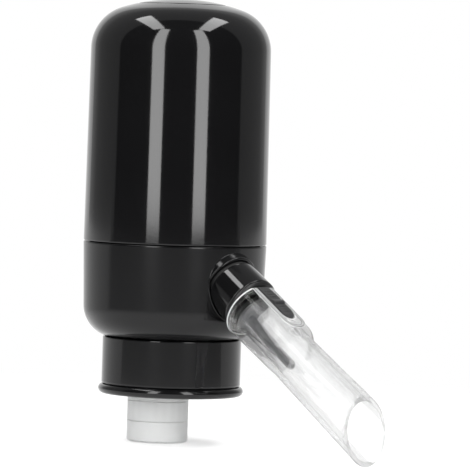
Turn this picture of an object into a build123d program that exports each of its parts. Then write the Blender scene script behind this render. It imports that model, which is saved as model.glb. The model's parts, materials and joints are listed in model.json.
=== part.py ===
from build123d import *
import math
import os

os.makedirs("parts", exist_ok=True)

# Electric wine aerator. Millimetres, +Z up, the spout points along -Y.
# The origin is on the bottle plug's axis, where the bottle's rim meets the base.

# Outside of the body, from the seat upwards
ring_overhang = 1.1
ring_height = 3.2
ring_gap = 0.3
collar_radius = 23.1
collar_height = 15.0
collar_step = 0.8
foot_draft = 0.6
foot_flat_inset = 4.2
floor_hole_inset = 7.3
housing_height = 32.0
body_radius = 30.5
seam_gap = 0.3
cover_draft = 0.5
shoulder_margin = 1.0
shoulder_rise = 8.7
crown_radius = 64.0
housing_wall = 2.0
cover_wall = 2.0
collar_wall = 1.8
overrun = 5.0
fit_gap = 0.3
slide_gap = 0.08
screw_gap = 0.05
hose_gap = 0.02

# Bottle plug and its core, beside the body's axis on the side away from the spout
plug_offset = 6.1
plug_radius = 10.25
plug_length = 16.0
plug_round = 1.8
plug_flange_radius = 13.0
plug_flange_height = 1.6
plug_groove_drop = 2.3
plug_waist_drop = 9.0
plug_groove = 0.35
plug_neck_inset = 0.25
core_stem_radius = 7.9
core_flange_radius = 12.6
core_ear_radius = 2.4
core_flange_height = 2.0
straw_radius = 3.05
straw_depth = 13.0
straw_seal_height = 1.0
straw_seal_overlap = 0.4
wine_passage_radius = 1.2
air_passage_radius = 0.6
air_offset = 4.8
plate_height = 2.4
plug_screw_ring = 13.9
ring_upstand = 1.0
ring_upstand_rise = 2.0
plate_post_radius = 2.2

# Spout: a slanted axis that crosses the foot radius below the seam
spout_slope = 32.0
spout_inset = 0.5
spout_drop = 15.0
knuckle_lift = 2.0
boss_radius = 10.0
boss_inner_radius = 11.0
boss_back = 7.4
boss_front = 3.4
gasket_thickness = 1.4
gasket_radius = 8.9
knuckle_root_radius = 9.4
knuckle_tip_radius = 9.5
knuckle_bore_gap = 0.2
knuckle_length = 10.3
knuckle_edge = 0.35
tail_radius = 4.2
tail_length = 9.5
nut_radius = 5.8
nut_thickness = 2.4
elbow_inset = 13.0
elbow_radius = 4.0
elbow_cap = 1.87
spigot_radius = 6.1
spigot_length = 7.1
spigot_seal_wire = 0.5
chamber_radius = 5.6
chamber_length = 3.5
passage_radius = 1.6

# Latch ring, clear nozzle and its release tab
latch_thickness = 2.9
latch_radius = 9.6
latch_hole_radius = 6.6
joint_line = 0.15
rim_radius = 10.0
rim_lift = 1.95
shroud_length = 20.0
shroud_tip_radius = 9.35
shroud_tip_lift = 1.25
shroud_fade = 4.5
nozzle_root_radius = 8.05
nozzle_mouth_radius = 9.0
nozzle_bore_radius = 6.4
nozzle_mouth_bore = 7.4
nozzle_length = 76.0
mouth_lean = 5.0
window_half_width = 2.85
window_floor = 7.9
window_end = 30.6
window_lip = 1.05
lip_height_back = 12.3
lip_height_front = 11.0
tab_gap = 0.35
tab_back = 12.0
tab_thickness_floor = 9.7
tab_top_back = 11.9
tab_ridge_place = 20.9
tab_ridge_top = 12.7
tab_ridge_width = 0.9
tab_second_top = 12.1
tab_slope_place = 26.0
tab_tip_top = 10.7
tab_nose_length = 1.2
tab_nose_half_width = 1.4
pin_place = 14.2
pin_lift = 10.8
pin_radius = 0.8
pin_length = 7.6
tube_lift = -3.2
tube_root_radius = 2.5
tube_waist_radius = 1.75
tube_tip_radius = 1.6
tube_waist_place = 25.6
tube_tip_place = 37.0
tube_bore_radius = 1.0
tube_socket_depth = 3.0

# Power button and the parts in the crown
button_radius = 14.5
button_gap = 0.4
button_travel = 1.5
button_wall = 1.8
guide_depth = 4.0
guide_wall = 1.6
flange_height = 1.2
flange_radius = 16.2
retainer_height = 1.6
crown_post_gap = 0.5
crown_post_radius = 2.3
plunger_radius = 2.2
plunger_hole_radius = 2.6
spring_radius = 4.6
spring_wire = 0.35
spring_turns = 4
board_drop = 7.8
board_thickness = 1.6
board_radius = 12.5
switch_side = 8.5
switch_height = 3.8
switch_pin_radius = 1.4
switch_pin_rise = 1.9
board_post_place = 9.0
board_post_radius = 2.4

# Battery carrier
cell_share = 4 / 15
cell_length = 43.7
cell_nub_radius = 1.9
cell_nub_height = 0.8
cell_inset = 6.1
cell_count = 6
cell_spring_height = 4.5
cell_spring_radius = 3.6
cell_spring_wire = 0.35
cell_spring_turns = 3
contact_thickness = 0.4
contact_width = 8.0
contact_gap = 0.1
base_plate_rise = 1.5
base_plate_thickness = 2.0
carrier_post_share = 2 / 13
cap_hole_radius = 6.0
post_count = 3
chassis_inset = 2.4
chassis_post_radius = 3.0

# Lap joint and seal at the seam
lip_wall = 2.0
lip_height = 4.4
seal_wire = 0.6
seal_rise = 2.4
seal_seat_depth = 1.0

# Screws
screw_shank_radius = 1.0
screw_head_radius = 2.0
screw_head_height = 1.2
screw_length = 8.0
small_screw_length = 5.0
recess_width = 0.6
recess_depth = 0.5

# Motor and air pump on the body's axis
can_wall = 0.8
can_length = 30.8
can_drop = 3.0
end_cap_height = 2.4
magnet_thickness = 1.7
magnet_angle = 130.0
magnet_length = 20.0
rotor_gap = 0.5
core_length = 17.0
core_rise = 7.0
pole_count = 3
pole_slot = 1.6
pole_slot_share = 0.37
commutator_radius = 3.0
commutator_length = 3.4
shaft_radius = 1.0
bush_radius = 3.0
bush_length = 2.2
shaft_gap = 0.05
bracket_thickness = 2.0
bracket_margin = 0.5
bracket_reach = 21.0
bracket_width = 8.0
bracket_screw_place = 18.0
pump_radius = 13.5
pump_wall = 1.4
pump_case_height = 8.6
crank_radius = 4.0
crank_height = 2.6
crank_throw = 1.3
crank_pin_radius = 0.8
crank_pin_length = 2.2
wobble_radius = 11.0
wobble_hub_radius = 4.0
wobble_bore_radius = 2.5
wobble_thickness = 1.2
diaphragm_thickness = 1.2
diaphragm_cup_radius = 3.6
diaphragm_cup_height = 1.6
diaphragm_cup_ring = 7.2
valve_plate_thickness = 2.0
pump_head_height = 4.6
nipple_length = 5.4
nipple_radius = 1.1

# Hoses
wine_hose_radius = 2.5
wine_hose_bore = 1.55
wine_hose_gap = 2.6
wine_hose_bend = 5.6
wine_hose_overlap = 1.0
wine_barb_height = 8.0
air_hose_radius = 1.8
air_barb_height = 4.6
lead_radius = 0.6
lead_place = 6.4
lead_inset = 2.2

# Radii and levels that follow from the sizes above
ring_radius = collar_radius + ring_overhang
foot_side_radius = body_radius - foot_draft
foot_round = foot_side_radius - collar_radius + foot_flat_inset
cover_top_radius = body_radius - cover_draft
shoulder_centre = button_radius + shoulder_margin
shoulder_round = cover_top_radius - shoulder_centre
lip_radius = body_radius - cover_wall - fit_gap
base_plate_radius = lip_radius - lip_wall - fit_gap
cap_radius = base_plate_radius - fit_gap
chassis_ring = base_plate_radius - chassis_inset
cell_ring = cap_radius - cell_inset
cell_radius = cell_ring * cell_share
carrier_post_radius = cell_ring * carrier_post_share
can_radius = cell_ring - cell_radius - base_plate_thickness - contact_gap
core_radius = can_radius - can_wall - magnet_thickness - rotor_gap
crown_post_ring = flange_radius + crown_post_gap + crown_post_radius
bracket_radius = pump_radius + bracket_margin
spout_reach = body_radius - spout_inset
elbow_reach = spout_reach - elbow_inset
collar_low = ring_height + ring_gap
housing_low = collar_low + collar_height
seam = housing_low + housing_height
chassis_top = seam + base_plate_rise
plate_top = chassis_top + base_plate_thickness
cell_low = plate_top + contact_thickness + contact_gap
cell_room = cell_spring_height + cell_length + cell_nub_height + contact_gap * 2
cap_low = cell_low + cell_room + contact_thickness
cap_top = cap_low + base_plate_thickness
shoulder = cap_top + shoulder_rise
can_low = seam - can_drop
bracket_low = can_low - bracket_thickness
case_low = bracket_low - pump_case_height
diaphragm_low = case_low - diaphragm_thickness
valve_low = diaphragm_low - valve_plate_thickness
head_low = valve_low - pump_head_height
wine_hose_rise = head_low - wine_hose_gap - wine_hose_radius
barb_low = wine_hose_rise + wine_hose_bend * 2
wine_hose_top = barb_low + wine_hose_overlap
crown_low = shoulder - math.sqrt((crown_radius - shoulder_round) ** 2 - shoulder_centre**2)
crown_angle = math.degrees(math.asin(shoulder_centre / (crown_radius - shoulder_round)))
quarter_turn = 90.0
full_turn = 360.0

# Planes and axes
body_y = -plug_offset
body_axis = Axis((0, body_y, 0), (0, 0, 1))
body_side = Plane(origin=(0, body_y, 0), x_dir=(1, 0, 0), z_dir=(0, -1, 0))
plug_side = Plane(origin=(0, 0, 0), x_dir=(1, 0, 0), z_dir=(0, -1, 0))
slope_cosine = math.cos(math.radians(spout_slope))
slope_sine = math.sin(math.radians(spout_slope))
spout_way = (0, -slope_cosine, -slope_sine)
spout_up = (0, -slope_sine, slope_cosine)
spout_root = (0, body_y - spout_reach, seam - spout_drop)
elbow_end = elbow_inset / slope_cosine + elbow_cap
spout_side = Plane(origin=spout_root, x_dir=spout_way, z_dir=(-1, 0, 0))
spout_axis = Axis(spout_root, spout_way)


def level(height):
    # a flat plane centred on the body's axis
    return Plane(origin=(0, body_y, height), x_dir=(1, 0, 0), z_dir=(0, 0, 1))


def level_down(height):
    # the same plane, facing down
    return Plane(origin=(0, body_y, height), x_dir=(-1, 0, 0), z_dir=(0, 0, -1))


def on_spout(along, lift):
    # a point in the spout's upright middle plane
    return spout_side.from_local_coords((along, lift, 0))


def across(along, lift=0.0):
    # a plane square to the spout, at a distance along it and a lift above its axis
    return Plane(origin=on_spout(along, lift), x_dir=(1, 0, 0), z_dir=spout_way)


def above(lift):
    # a plane along the spout, facing up from it
    return Plane(origin=on_spout(0, lift), x_dir=spout_way, z_dir=spout_up)


def crown_height(radius, inset=0.0):
    # the crown's height at a radius, below its outer face by an inset
    return crown_low + math.sqrt((crown_radius - inset) ** 2 - radius**2)


def housing_outline(inset):
    # half outline of the lower housing, drawn in by an inset
    low = housing_low + inset
    turn = foot_round - inset
    side = foot_side_radius - inset
    with BuildSketch(body_side) as outline:
        with BuildLine():
            Line((0, low), (side - turn, low))
            CenterArc((side - turn, low + turn), turn, -quarter_turn, quarter_turn)
            Polyline((side, low + turn), (body_radius - inset, seam), (0, seam), (0, low))
        make_face()
    return outline.sketch


def cover_outline(inset):
    # half outline of the upper cover, drawn in by an inset
    low = seam + seam_gap
    turn = shoulder_round - inset
    with BuildSketch(body_side) as outline:
        with BuildLine():
            Polyline((0, low), (body_radius - inset, low), (cover_top_radius - inset, shoulder))
            CenterArc((shoulder_centre, shoulder), turn, 0, quarter_turn - crown_angle)
            CenterArc((0, crown_low), crown_radius - inset, quarter_turn - crown_angle, crown_angle)
            Line((0, crown_low + crown_radius - inset), (0, low))
        make_face()
    return outline.sketch


def spring_coil(centre, radius, wire, height, turns, way=1):
    # one open coil of round wire, standing up from its centre or hanging down from it
    pitch = height / turns
    with BuildPart() as coil:
        with BuildLine() as path:
            Helix(pitch, height, radius, center=centre, direction=(0, 0, way))
        with BuildSketch(Plane(origin=path.line @ 0, z_dir=path.line % 0)):
            Circle(wire)
        sweep()
    return coil.part


def screw_group(plane, places, length):
    # pan-head screws that stand in a plane, with their shanks pointing away from it
    with BuildPart() as screws:
        with BuildSketch(plane):
            with Locations(*places):
                Circle(screw_head_radius)
        extrude(amount=screw_head_height)
        with BuildSketch(plane.offset(screw_head_height)):
            with Locations(*places):
                Rectangle(screw_head_radius, recess_width)
                Rectangle(recess_width, screw_head_radius)
        extrude(amount=-recess_depth, mode=Mode.SUBTRACT)
        with BuildSketch(plane):
            with Locations(*places):
                Circle(screw_shank_radius)
        extrude(amount=-length)
    return screws


def ring_places(radius, count, start):
    # points evenly round a centre, from a start angle
    angles = [math.radians(start + full_turn * n / count) for n in range(count)]
    return [(radius * math.cos(angle), radius * math.sin(angle)) for angle in angles]


chassis_places = ring_places(chassis_ring, post_count, quarter_turn)
carrier_places = ring_places(cell_ring, post_count, -quarter_turn)
cell_places = ring_places(cell_ring, cell_count, 0)
crown_places = ring_places(crown_post_ring, post_count, quarter_turn)
board_places = [(board_post_place, 0), (-board_post_place, 0)]
screw_hole_radius = screw_shank_radius + screw_gap
screw_pass_radius = screw_shank_radius + fit_gap

# Lower housing: a tapered cup with a rounded foot, a lap lip and the spout's socket
floor_top = housing_low + housing_wall
floor_hole_radius = collar_radius - floor_hole_inset
collar_screw_ring = floor_hole_radius + screw_head_radius + fit_gap
collar_screw_places = ring_places(collar_screw_ring, post_count, quarter_turn)
elbow_y = body_y - elbow_reach
with BuildPart() as lower_housing:
    revolve(housing_outline(0), axis=body_axis)
    revolve(housing_outline(housing_wall), axis=body_axis, mode=Mode.SUBTRACT)
    with BuildSketch(level(floor_top - housing_wall / 2)):
        with Locations(*chassis_places):
            Circle(chassis_post_radius)
    extrude(amount=chassis_top - floor_top)
    with BuildSketch(across(-boss_front, knuckle_lift)):
        Circle(boss_inner_radius)
    extrude(amount=boss_front + knuckle_length)
    revolve(housing_outline(0), axis=body_axis, mode=Mode.INTERSECT)
    with BuildSketch(level(seam - lip_wall)):
        Circle(body_radius - housing_wall / 2)
        Circle(lip_radius - lip_wall, mode=Mode.SUBTRACT)
    extrude(amount=lip_wall)
    with BuildSketch(level(seam)):
        Circle(lip_radius)
        Circle(lip_radius - lip_wall, mode=Mode.SUBTRACT)
    extrude(amount=lip_height)
    with BuildSketch(level(seam + seal_rise - seal_wire)):
        Circle(body_radius)
        Circle(lip_radius - seal_seat_depth, mode=Mode.SUBTRACT)
    extrude(amount=seal_wire * 2, mode=Mode.SUBTRACT)
    with BuildSketch(level(seam)):
        with Locations(*chassis_places):
            Circle(chassis_post_radius)
    extrude(amount=base_plate_rise)
    with BuildSketch(across(-boss_back, knuckle_lift)):
        Circle(boss_radius)
    extrude(amount=boss_back - boss_front)
    with BuildSketch(across(-boss_front, knuckle_lift)):
        Circle(knuckle_tip_radius + knuckle_bore_gap)
    extrude(amount=boss_front + knuckle_length + overrun, mode=Mode.SUBTRACT)
    with BuildSketch(across(-boss_back - overrun, knuckle_lift)):
        Circle(tail_radius + fit_gap)
    extrude(amount=boss_back + overrun, mode=Mode.SUBTRACT)
    with BuildSketch(Plane(origin=(0, elbow_y, floor_top), z_dir=(0, 0, 1))):
        Circle(wine_hose_radius + fit_gap * 2)
    extrude(amount=seam - floor_top - spout_drop / 2, mode=Mode.SUBTRACT)
    with BuildSketch(level(housing_low)):
        Circle(floor_hole_radius)
        with Locations(*collar_screw_places):
            Circle(screw_hole_radius)
    extrude(amount=housing_wall, mode=Mode.SUBTRACT)
    with BuildSketch(level(chassis_top)):
        with Locations(*chassis_places):
            Circle(screw_hole_radius)
    extrude(amount=-screw_length, mode=Mode.SUBTRACT)
lower_housing.part.label = "lower_housing"
export_step(lower_housing.part, "parts/lower_housing.step")

# Neck collar: an upturned cup under the housing, with a step that leaves a dark line
collar_inner_radius = collar_radius - collar_wall
plate_post_ring = collar_inner_radius - ring_upstand - plate_post_radius - fit_gap
plate_post_places = [(plate_post_ring, 0), (-plate_post_ring, 0), (0, -plate_post_ring)]
with BuildPart() as neck_collar:
    with BuildSketch(level(collar_low)):
        Circle(collar_radius)
    extrude(amount=collar_height)
    with BuildSketch(level(collar_low)):
        Circle(collar_inner_radius)
        with Locations(*plate_post_places):
            Circle(plate_post_radius, mode=Mode.SUBTRACT)
    extrude(amount=collar_height - collar_wall, mode=Mode.SUBTRACT)
    with BuildSketch(level(housing_low)):
        Circle(collar_radius + overrun)
        Circle(collar_radius - collar_step, mode=Mode.SUBTRACT)
    extrude(amount=-collar_step, mode=Mode.SUBTRACT)
    with BuildSketch(level(housing_low)):
        Circle(floor_hole_radius)
        with Locations(*collar_screw_places):
            Circle(screw_pass_radius)
    extrude(amount=-collar_wall, mode=Mode.SUBTRACT)
    with BuildSketch(level(plate_height)):
        with Locations(*plate_post_places):
            Circle(plate_post_radius)
    extrude(amount=collar_low - plate_height + collar_wall)
    with BuildSketch(level(plate_height)):
        with Locations(*plate_post_places):
            Circle(screw_hole_radius)
    extrude(amount=screw_length, mode=Mode.SUBTRACT)
neck_collar.part.label = "neck_collar"
export_step(neck_collar.part, "parts/neck_collar.step")

# Collar screws come up from inside the collar into the housing's floor
collar_screws = screw_group(
    level_down(housing_low - collar_wall), collar_screw_places, collar_wall + housing_wall
)
collar_screws.part.label = "collar_screws"
export_step(collar_screws.part, "parts/collar_screws.step")

# Base ring: a half-round bead with an upstand inside the collar
upstand_radius = collar_inner_radius - hose_gap
with BuildPart() as base_ring:
    with BuildSketch(body_side):
        with BuildLine():
            Polyline(
                (upstand_radius - ring_upstand, 0),
                (ring_radius - ring_height / 2, 0),
            )
            CenterArc(
                (ring_radius - ring_height / 2, ring_height / 2),
                ring_height / 2,
                -quarter_turn,
                quarter_turn * 2,
            )
            Polyline(
                (ring_radius - ring_height / 2, ring_height),
                (upstand_radius, ring_height),
                (upstand_radius, collar_low + ring_upstand_rise),
                (upstand_radius - ring_upstand, collar_low + ring_upstand_rise),
                (upstand_radius - ring_upstand, 0),
            )
        make_face()
    revolve(axis=body_axis)
base_ring.part.label = "base_ring"
export_step(base_ring.part, "parts/base_ring.step")

# Base plate: closes the collar and carries the plug on three low posts
plug_screw_places = ring_places(plug_screw_ring, post_count, -quarter_turn)
plug_seat_top = plate_height + plug_flange_height
plate_radius = upstand_radius - ring_upstand - hose_gap
with BuildPart() as base_plate:
    with BuildSketch(level(0)):
        Circle(plate_radius)
    extrude(amount=plate_height)
    with BuildSketch(Plane.XY.offset(plate_height)):
        with Locations(*plug_screw_places):
            Circle(screw_head_radius)
    extrude(amount=plug_flange_height)
    with BuildSketch(Plane.XY):
        Circle(plug_radius - plug_neck_inset)
        with Locations(*plug_screw_places):
            Circle(screw_hole_radius)
    extrude(amount=plug_seat_top, mode=Mode.SUBTRACT)
    with BuildSketch(level(0)):
        with Locations(*plate_post_places):
            Circle(screw_pass_radius)
    extrude(amount=plate_height, mode=Mode.SUBTRACT)
    with BuildSketch(level(0)):
        with Locations(*plate_post_places):
            Circle(screw_head_radius + slide_gap)
    extrude(amount=screw_head_height + slide_gap, mode=Mode.SUBTRACT)
base_plate.part.label = "base_plate"
export_step(base_plate.part, "parts/base_plate.step")

# Plate screws come up through the base plate into the collar's posts
plate_screws = screw_group(
    level_down(screw_head_height + slide_gap), plate_post_places, small_screw_length
)
plate_screws.part.label = "plate_screws"
export_step(plate_screws.part, "parts/plate_screws.step")

# Bottle plug: a soft sleeve with a flange above the plate, two fine grooves and a round foot
with BuildPart() as bottle_plug:
    with BuildSketch(plug_side):
        with BuildLine():
            Polyline(
                (core_stem_radius, plug_seat_top),
                (plug_flange_radius - plug_groove, plug_seat_top),
                (plug_flange_radius - plug_groove, plate_height),
                (plug_radius - plug_neck_inset, plate_height),
                (plug_radius - plug_neck_inset, 0),
                (plug_radius, 0),
                (plug_radius, -plug_groove_drop),
                (plug_radius - plug_groove, -plug_groove_drop - plug_groove),
                (plug_radius, -plug_groove_drop - plug_groove * 2),
                (plug_radius, -plug_waist_drop),
                (plug_radius - plug_groove, -plug_waist_drop - plug_groove),
                (plug_radius, -plug_waist_drop - plug_groove * 2),
                (plug_radius, plug_round - plug_length),
            )
            CenterArc(
                (plug_radius - plug_round, plug_round - plug_length),
                plug_round,
                -quarter_turn,
                quarter_turn,
            )
            Polyline(
                (plug_radius - plug_round, -plug_length),
                (core_stem_radius, -plug_length),
                (core_stem_radius, plug_seat_top),
            )
        make_face()
    revolve(axis=Axis.Z)
    with BuildSketch(Plane.XY.offset(plate_height)):
        with Locations(*plug_screw_places):
            Circle(screw_head_radius + fit_gap)
    extrude(amount=plug_flange_height, mode=Mode.SUBTRACT)
bottle_plug.part.label = "bottle_plug"
export_step(bottle_plug.part, "parts/bottle_plug.step")

# Plug core: the hard stem in the sleeve, with the straw's socket, an air way and two barbs
core_top = plug_seat_top + core_flange_height
with BuildPart() as plug_core:
    with BuildSketch(Plane.XY.offset(-plug_length)):
        Circle(core_stem_radius)
    extrude(amount=plug_length + plug_seat_top)
    with BuildSketch(Plane.XY.offset(plug_seat_top)):
        Circle(core_flange_radius)
        with Locations(*plug_screw_places):
            Circle(core_ear_radius)
    extrude(amount=core_flange_height)
    with BuildSketch(Plane.XY.offset(core_top)):
        Circle(wine_hose_bore - hose_gap)
    extrude(amount=wine_barb_height)
    with BuildSketch(Plane.XY.offset(core_top)):
        with Locations((0, air_offset)):
            Circle(nipple_radius)
    extrude(amount=air_barb_height)
    with BuildSketch(Plane.XY.offset(-plug_length)):
        Circle(straw_radius)
    extrude(amount=straw_depth, mode=Mode.SUBTRACT)
    with BuildSketch(Plane.XY.offset(straw_depth - plug_length)):
        Circle(straw_radius + straw_seal_overlap)
    extrude(amount=straw_seal_height + slide_gap, mode=Mode.SUBTRACT)
    with BuildSketch(Plane.XY.offset(-plug_length)):
        Circle(wine_passage_radius)
        with Locations((0, air_offset)):
            Circle(air_passage_radius)
    extrude(amount=plug_length + core_top + wine_barb_height, mode=Mode.SUBTRACT)
    with BuildSketch(Plane.XY.offset(plug_seat_top)):
        with Locations(*plug_screw_places):
            Circle(screw_hole_radius)
    extrude(amount=core_flange_height, mode=Mode.SUBTRACT)
plug_core.part.label = "plug_core"
export_step(plug_core.part, "parts/plug_core.step")

# Straw seal: a soft washer in a groove at the top of the straw's socket
with BuildPart() as straw_seal:
    with BuildSketch(Plane.XY.offset(straw_depth - plug_length + slide_gap)):
        Circle(straw_radius + straw_seal_overlap - hose_gap)
        Circle(passage_radius, mode=Mode.SUBTRACT)
    extrude(amount=straw_seal_height)
straw_seal.part.label = "straw_seal"
export_step(straw_seal.part, "parts/straw_seal.step")

plug_screws = screw_group(Plane.XY.offset(core_top), plug_screw_places, core_top - ring_gap)
plug_screws.part.label = "plug_screws"
export_step(plug_screws.part, "parts/plug_screws.step")

# Spout knuckle: a short round body outside, a threaded tail inside and a spigot for the nozzle
knuckle_back = gasket_thickness - boss_front
knuckle_front = knuckle_back + knuckle_length
tail_back = knuckle_back - tail_length
spigot_front = knuckle_front + spigot_length
seal_centre = nozzle_bore_radius - slide_gap - spigot_seal_wire
with BuildPart() as spout_knuckle:
    with BuildSketch(across(knuckle_back, knuckle_lift)):
        Circle(knuckle_root_radius)
    with BuildSketch(across(knuckle_front, knuckle_lift)):
        Circle(knuckle_tip_radius)
    loft()
    chamfer(spout_knuckle.edges().filter_by(GeomType.CIRCLE), length=knuckle_edge)
    with BuildSketch(across(knuckle_back, knuckle_lift)):
        Circle(tail_radius)
    extrude(amount=-tail_length)
    with BuildSketch(across(knuckle_front)):
        Circle(spigot_radius)
    extrude(amount=spigot_length)
    with BuildSketch(across(tail_back, knuckle_lift)):
        Circle(passage_radius)
    extrude(amount=tail_length + knuckle_length / 2, mode=Mode.SUBTRACT)
    with BuildSketch(across(tail_back, knuckle_lift)):
        Circle(elbow_radius - passage_radius)
    extrude(amount=passage_radius, mode=Mode.SUBTRACT)
    with BuildSketch(across(knuckle_length / 2)):
        Circle(chamber_radius)
    extrude(amount=-chamber_length, mode=Mode.SUBTRACT)
    with BuildSketch(across(knuckle_length / 2, tube_lift)):
        Circle(tube_bore_radius)
    extrude(amount=spigot_front, mode=Mode.SUBTRACT)
    with BuildSketch(across(spigot_front, tube_lift)):
        Circle(tube_root_radius)
    extrude(amount=-tube_socket_depth, mode=Mode.SUBTRACT)
    with BuildSketch(across(spigot_front - tube_socket_depth)):
        Circle(spigot_radius)
        Circle(seal_centre - spigot_seal_wire, mode=Mode.SUBTRACT)
    extrude(amount=-spigot_seal_wire * 2, mode=Mode.SUBTRACT)
spout_knuckle.part.label = "spout_knuckle"
export_step(spout_knuckle.part, "parts/spout_knuckle.step")

# Nozzle seal: a soft ring in the spigot's groove
with BuildPart() as nozzle_seal:
    with BuildSketch(spout_side):
        with Locations((spigot_front - tube_socket_depth - spigot_seal_wire, seal_centre)):
            Circle(spigot_seal_wire - hose_gap)
    revolve(axis=spout_axis)
nozzle_seal.part.label = "nozzle_seal"
export_step(nozzle_seal.part, "parts/nozzle_seal.step")

# Socket gasket: the soft black band between the housing's boss and the knuckle
with BuildPart() as socket_gasket:
    with BuildSketch(across(-boss_front, knuckle_lift)):
        Circle(gasket_radius)
        Circle(tail_radius + hose_gap, mode=Mode.SUBTRACT)
    extrude(amount=gasket_thickness)
socket_gasket.part.label = "socket_gasket"
export_step(socket_gasket.part, "parts/socket_gasket.step")

# Spout nut: clamps the knuckle's tail from inside the housing
with BuildPart() as spout_nut:
    with BuildSketch(across(-boss_back, knuckle_lift)):
        RegularPolygon(nut_radius, cell_count)
        Circle(tail_radius + hose_gap, mode=Mode.SUBTRACT)
    extrude(amount=-nut_thickness)
spout_nut.part.label = "spout_nut"
export_step(spout_nut.part, "parts/spout_nut.step")

# Hose elbow: turns the wine way down towards the plug
with BuildPart() as hose_elbow:
    with BuildSketch(across(-elbow_end, knuckle_lift)):
        Circle(elbow_radius)
    extrude(amount=elbow_end + tail_back - hose_gap)
    with BuildSketch(across(tail_back - hose_gap, knuckle_lift)):
        Circle(elbow_radius - passage_radius - hose_gap)
    extrude(amount=passage_radius)
    with BuildSketch(Plane(origin=(0, elbow_y, barb_low), z_dir=(0, 0, 1))):
        Circle(wine_hose_bore - hose_gap)
    extrude(amount=seam - spout_drop / 2 - barb_low)
    with BuildSketch(Plane(origin=(0, elbow_y, barb_low), z_dir=(0, 0, 1))):
        Circle(wine_passage_radius)
    extrude(amount=seam - spout_drop / 2 - barb_low, mode=Mode.SUBTRACT)
    with BuildSketch(across(-elbow_end + passage_radius, knuckle_lift)):
        Circle(wine_passage_radius)
    extrude(amount=elbow_end, mode=Mode.SUBTRACT)
hose_elbow.part.label = "hose_elbow"
export_step(hose_elbow.part, "parts/hose_elbow.step")

# Aeration tube: tapers from the spigot into the nozzle and ends in a round tip
with BuildPart() as aeration_tube:
    with BuildSketch(spout_side):
        with BuildLine():
            Polyline(
                (spigot_front - tube_socket_depth + hose_gap, tube_lift),
                (spigot_front - tube_socket_depth + hose_gap, tube_lift + tube_root_radius - hose_gap),
                (spigot_front, tube_lift + tube_root_radius - hose_gap),
                (tube_waist_place, tube_lift + tube_waist_radius),
                (tube_waist_place, tube_lift + tube_tip_radius),
                (tube_tip_place - tube_tip_radius, tube_lift + tube_tip_radius),
            )
            CenterArc((tube_tip_place - tube_tip_radius, tube_lift), tube_tip_radius, 0, quarter_turn)
            Line(
                (tube_tip_place, tube_lift),
                (spigot_front - tube_socket_depth + hose_gap, tube_lift),
            )
        make_face()
    revolve(axis=Axis(on_spout(0, tube_lift), spout_way))
    with BuildSketch(across(spigot_front - tube_socket_depth, tube_lift)):
        Circle(tube_bore_radius)
    extrude(amount=tube_tip_place, mode=Mode.SUBTRACT)
aeration_tube.part.label = "aeration_tube"
export_step(aeration_tube.part, "parts/aeration_tube.step")

# Latch ring: the matte band between knuckle and nozzle
latch_back = knuckle_front + joint_line
latch_front = latch_back + latch_thickness
with BuildPart() as latch_ring:
    with BuildSketch(across(latch_back, knuckle_lift)):
        Circle(latch_radius)
    extrude(amount=latch_thickness)
    with BuildSketch(across(latch_back)):
        Circle(latch_hole_radius)
    extrude(amount=latch_thickness, mode=Mode.SUBTRACT)
latch_ring.part.label = "latch_ring"
export_step(latch_ring.part, "parts/latch_ring.step")

# Clear nozzle: a flared tube with a slanted mouth, a shroud on top of its root,
# and in the shroud a round-ended window with a raised lip
shroud_end = latch_front + shroud_length
lip_half_width = window_half_width + window_lip
mouth_angle = math.radians(mouth_lean)
mouth_face = Plane(
    origin=on_spout(nozzle_length, 0),
    x_dir=(1, 0, 0),
    z_dir=(0, -math.cos(mouth_angle), math.sin(mouth_angle)),
)
mouth_run = nozzle_mouth_radius * math.tan(math.radians(spout_slope + mouth_lean))
nozzle_stop = nozzle_length + mouth_run * 2
flare = (nozzle_mouth_radius - nozzle_root_radius) / (nozzle_length - shroud_end)
bore_flare = (nozzle_mouth_bore - nozzle_bore_radius) / (nozzle_length - shroud_end)


def window_plan(back, half_width, end):
    # a round-ended strip along the spout, seen from above it
    with BuildSketch(above(window_floor)) as plan:
        with Locations((back, 0)):
            Rectangle(end - back, half_width * 2, align=(Align.MIN, Align.CENTER))
        with Locations((end, 0)):
            Circle(half_width)
    return plan.sketch


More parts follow.
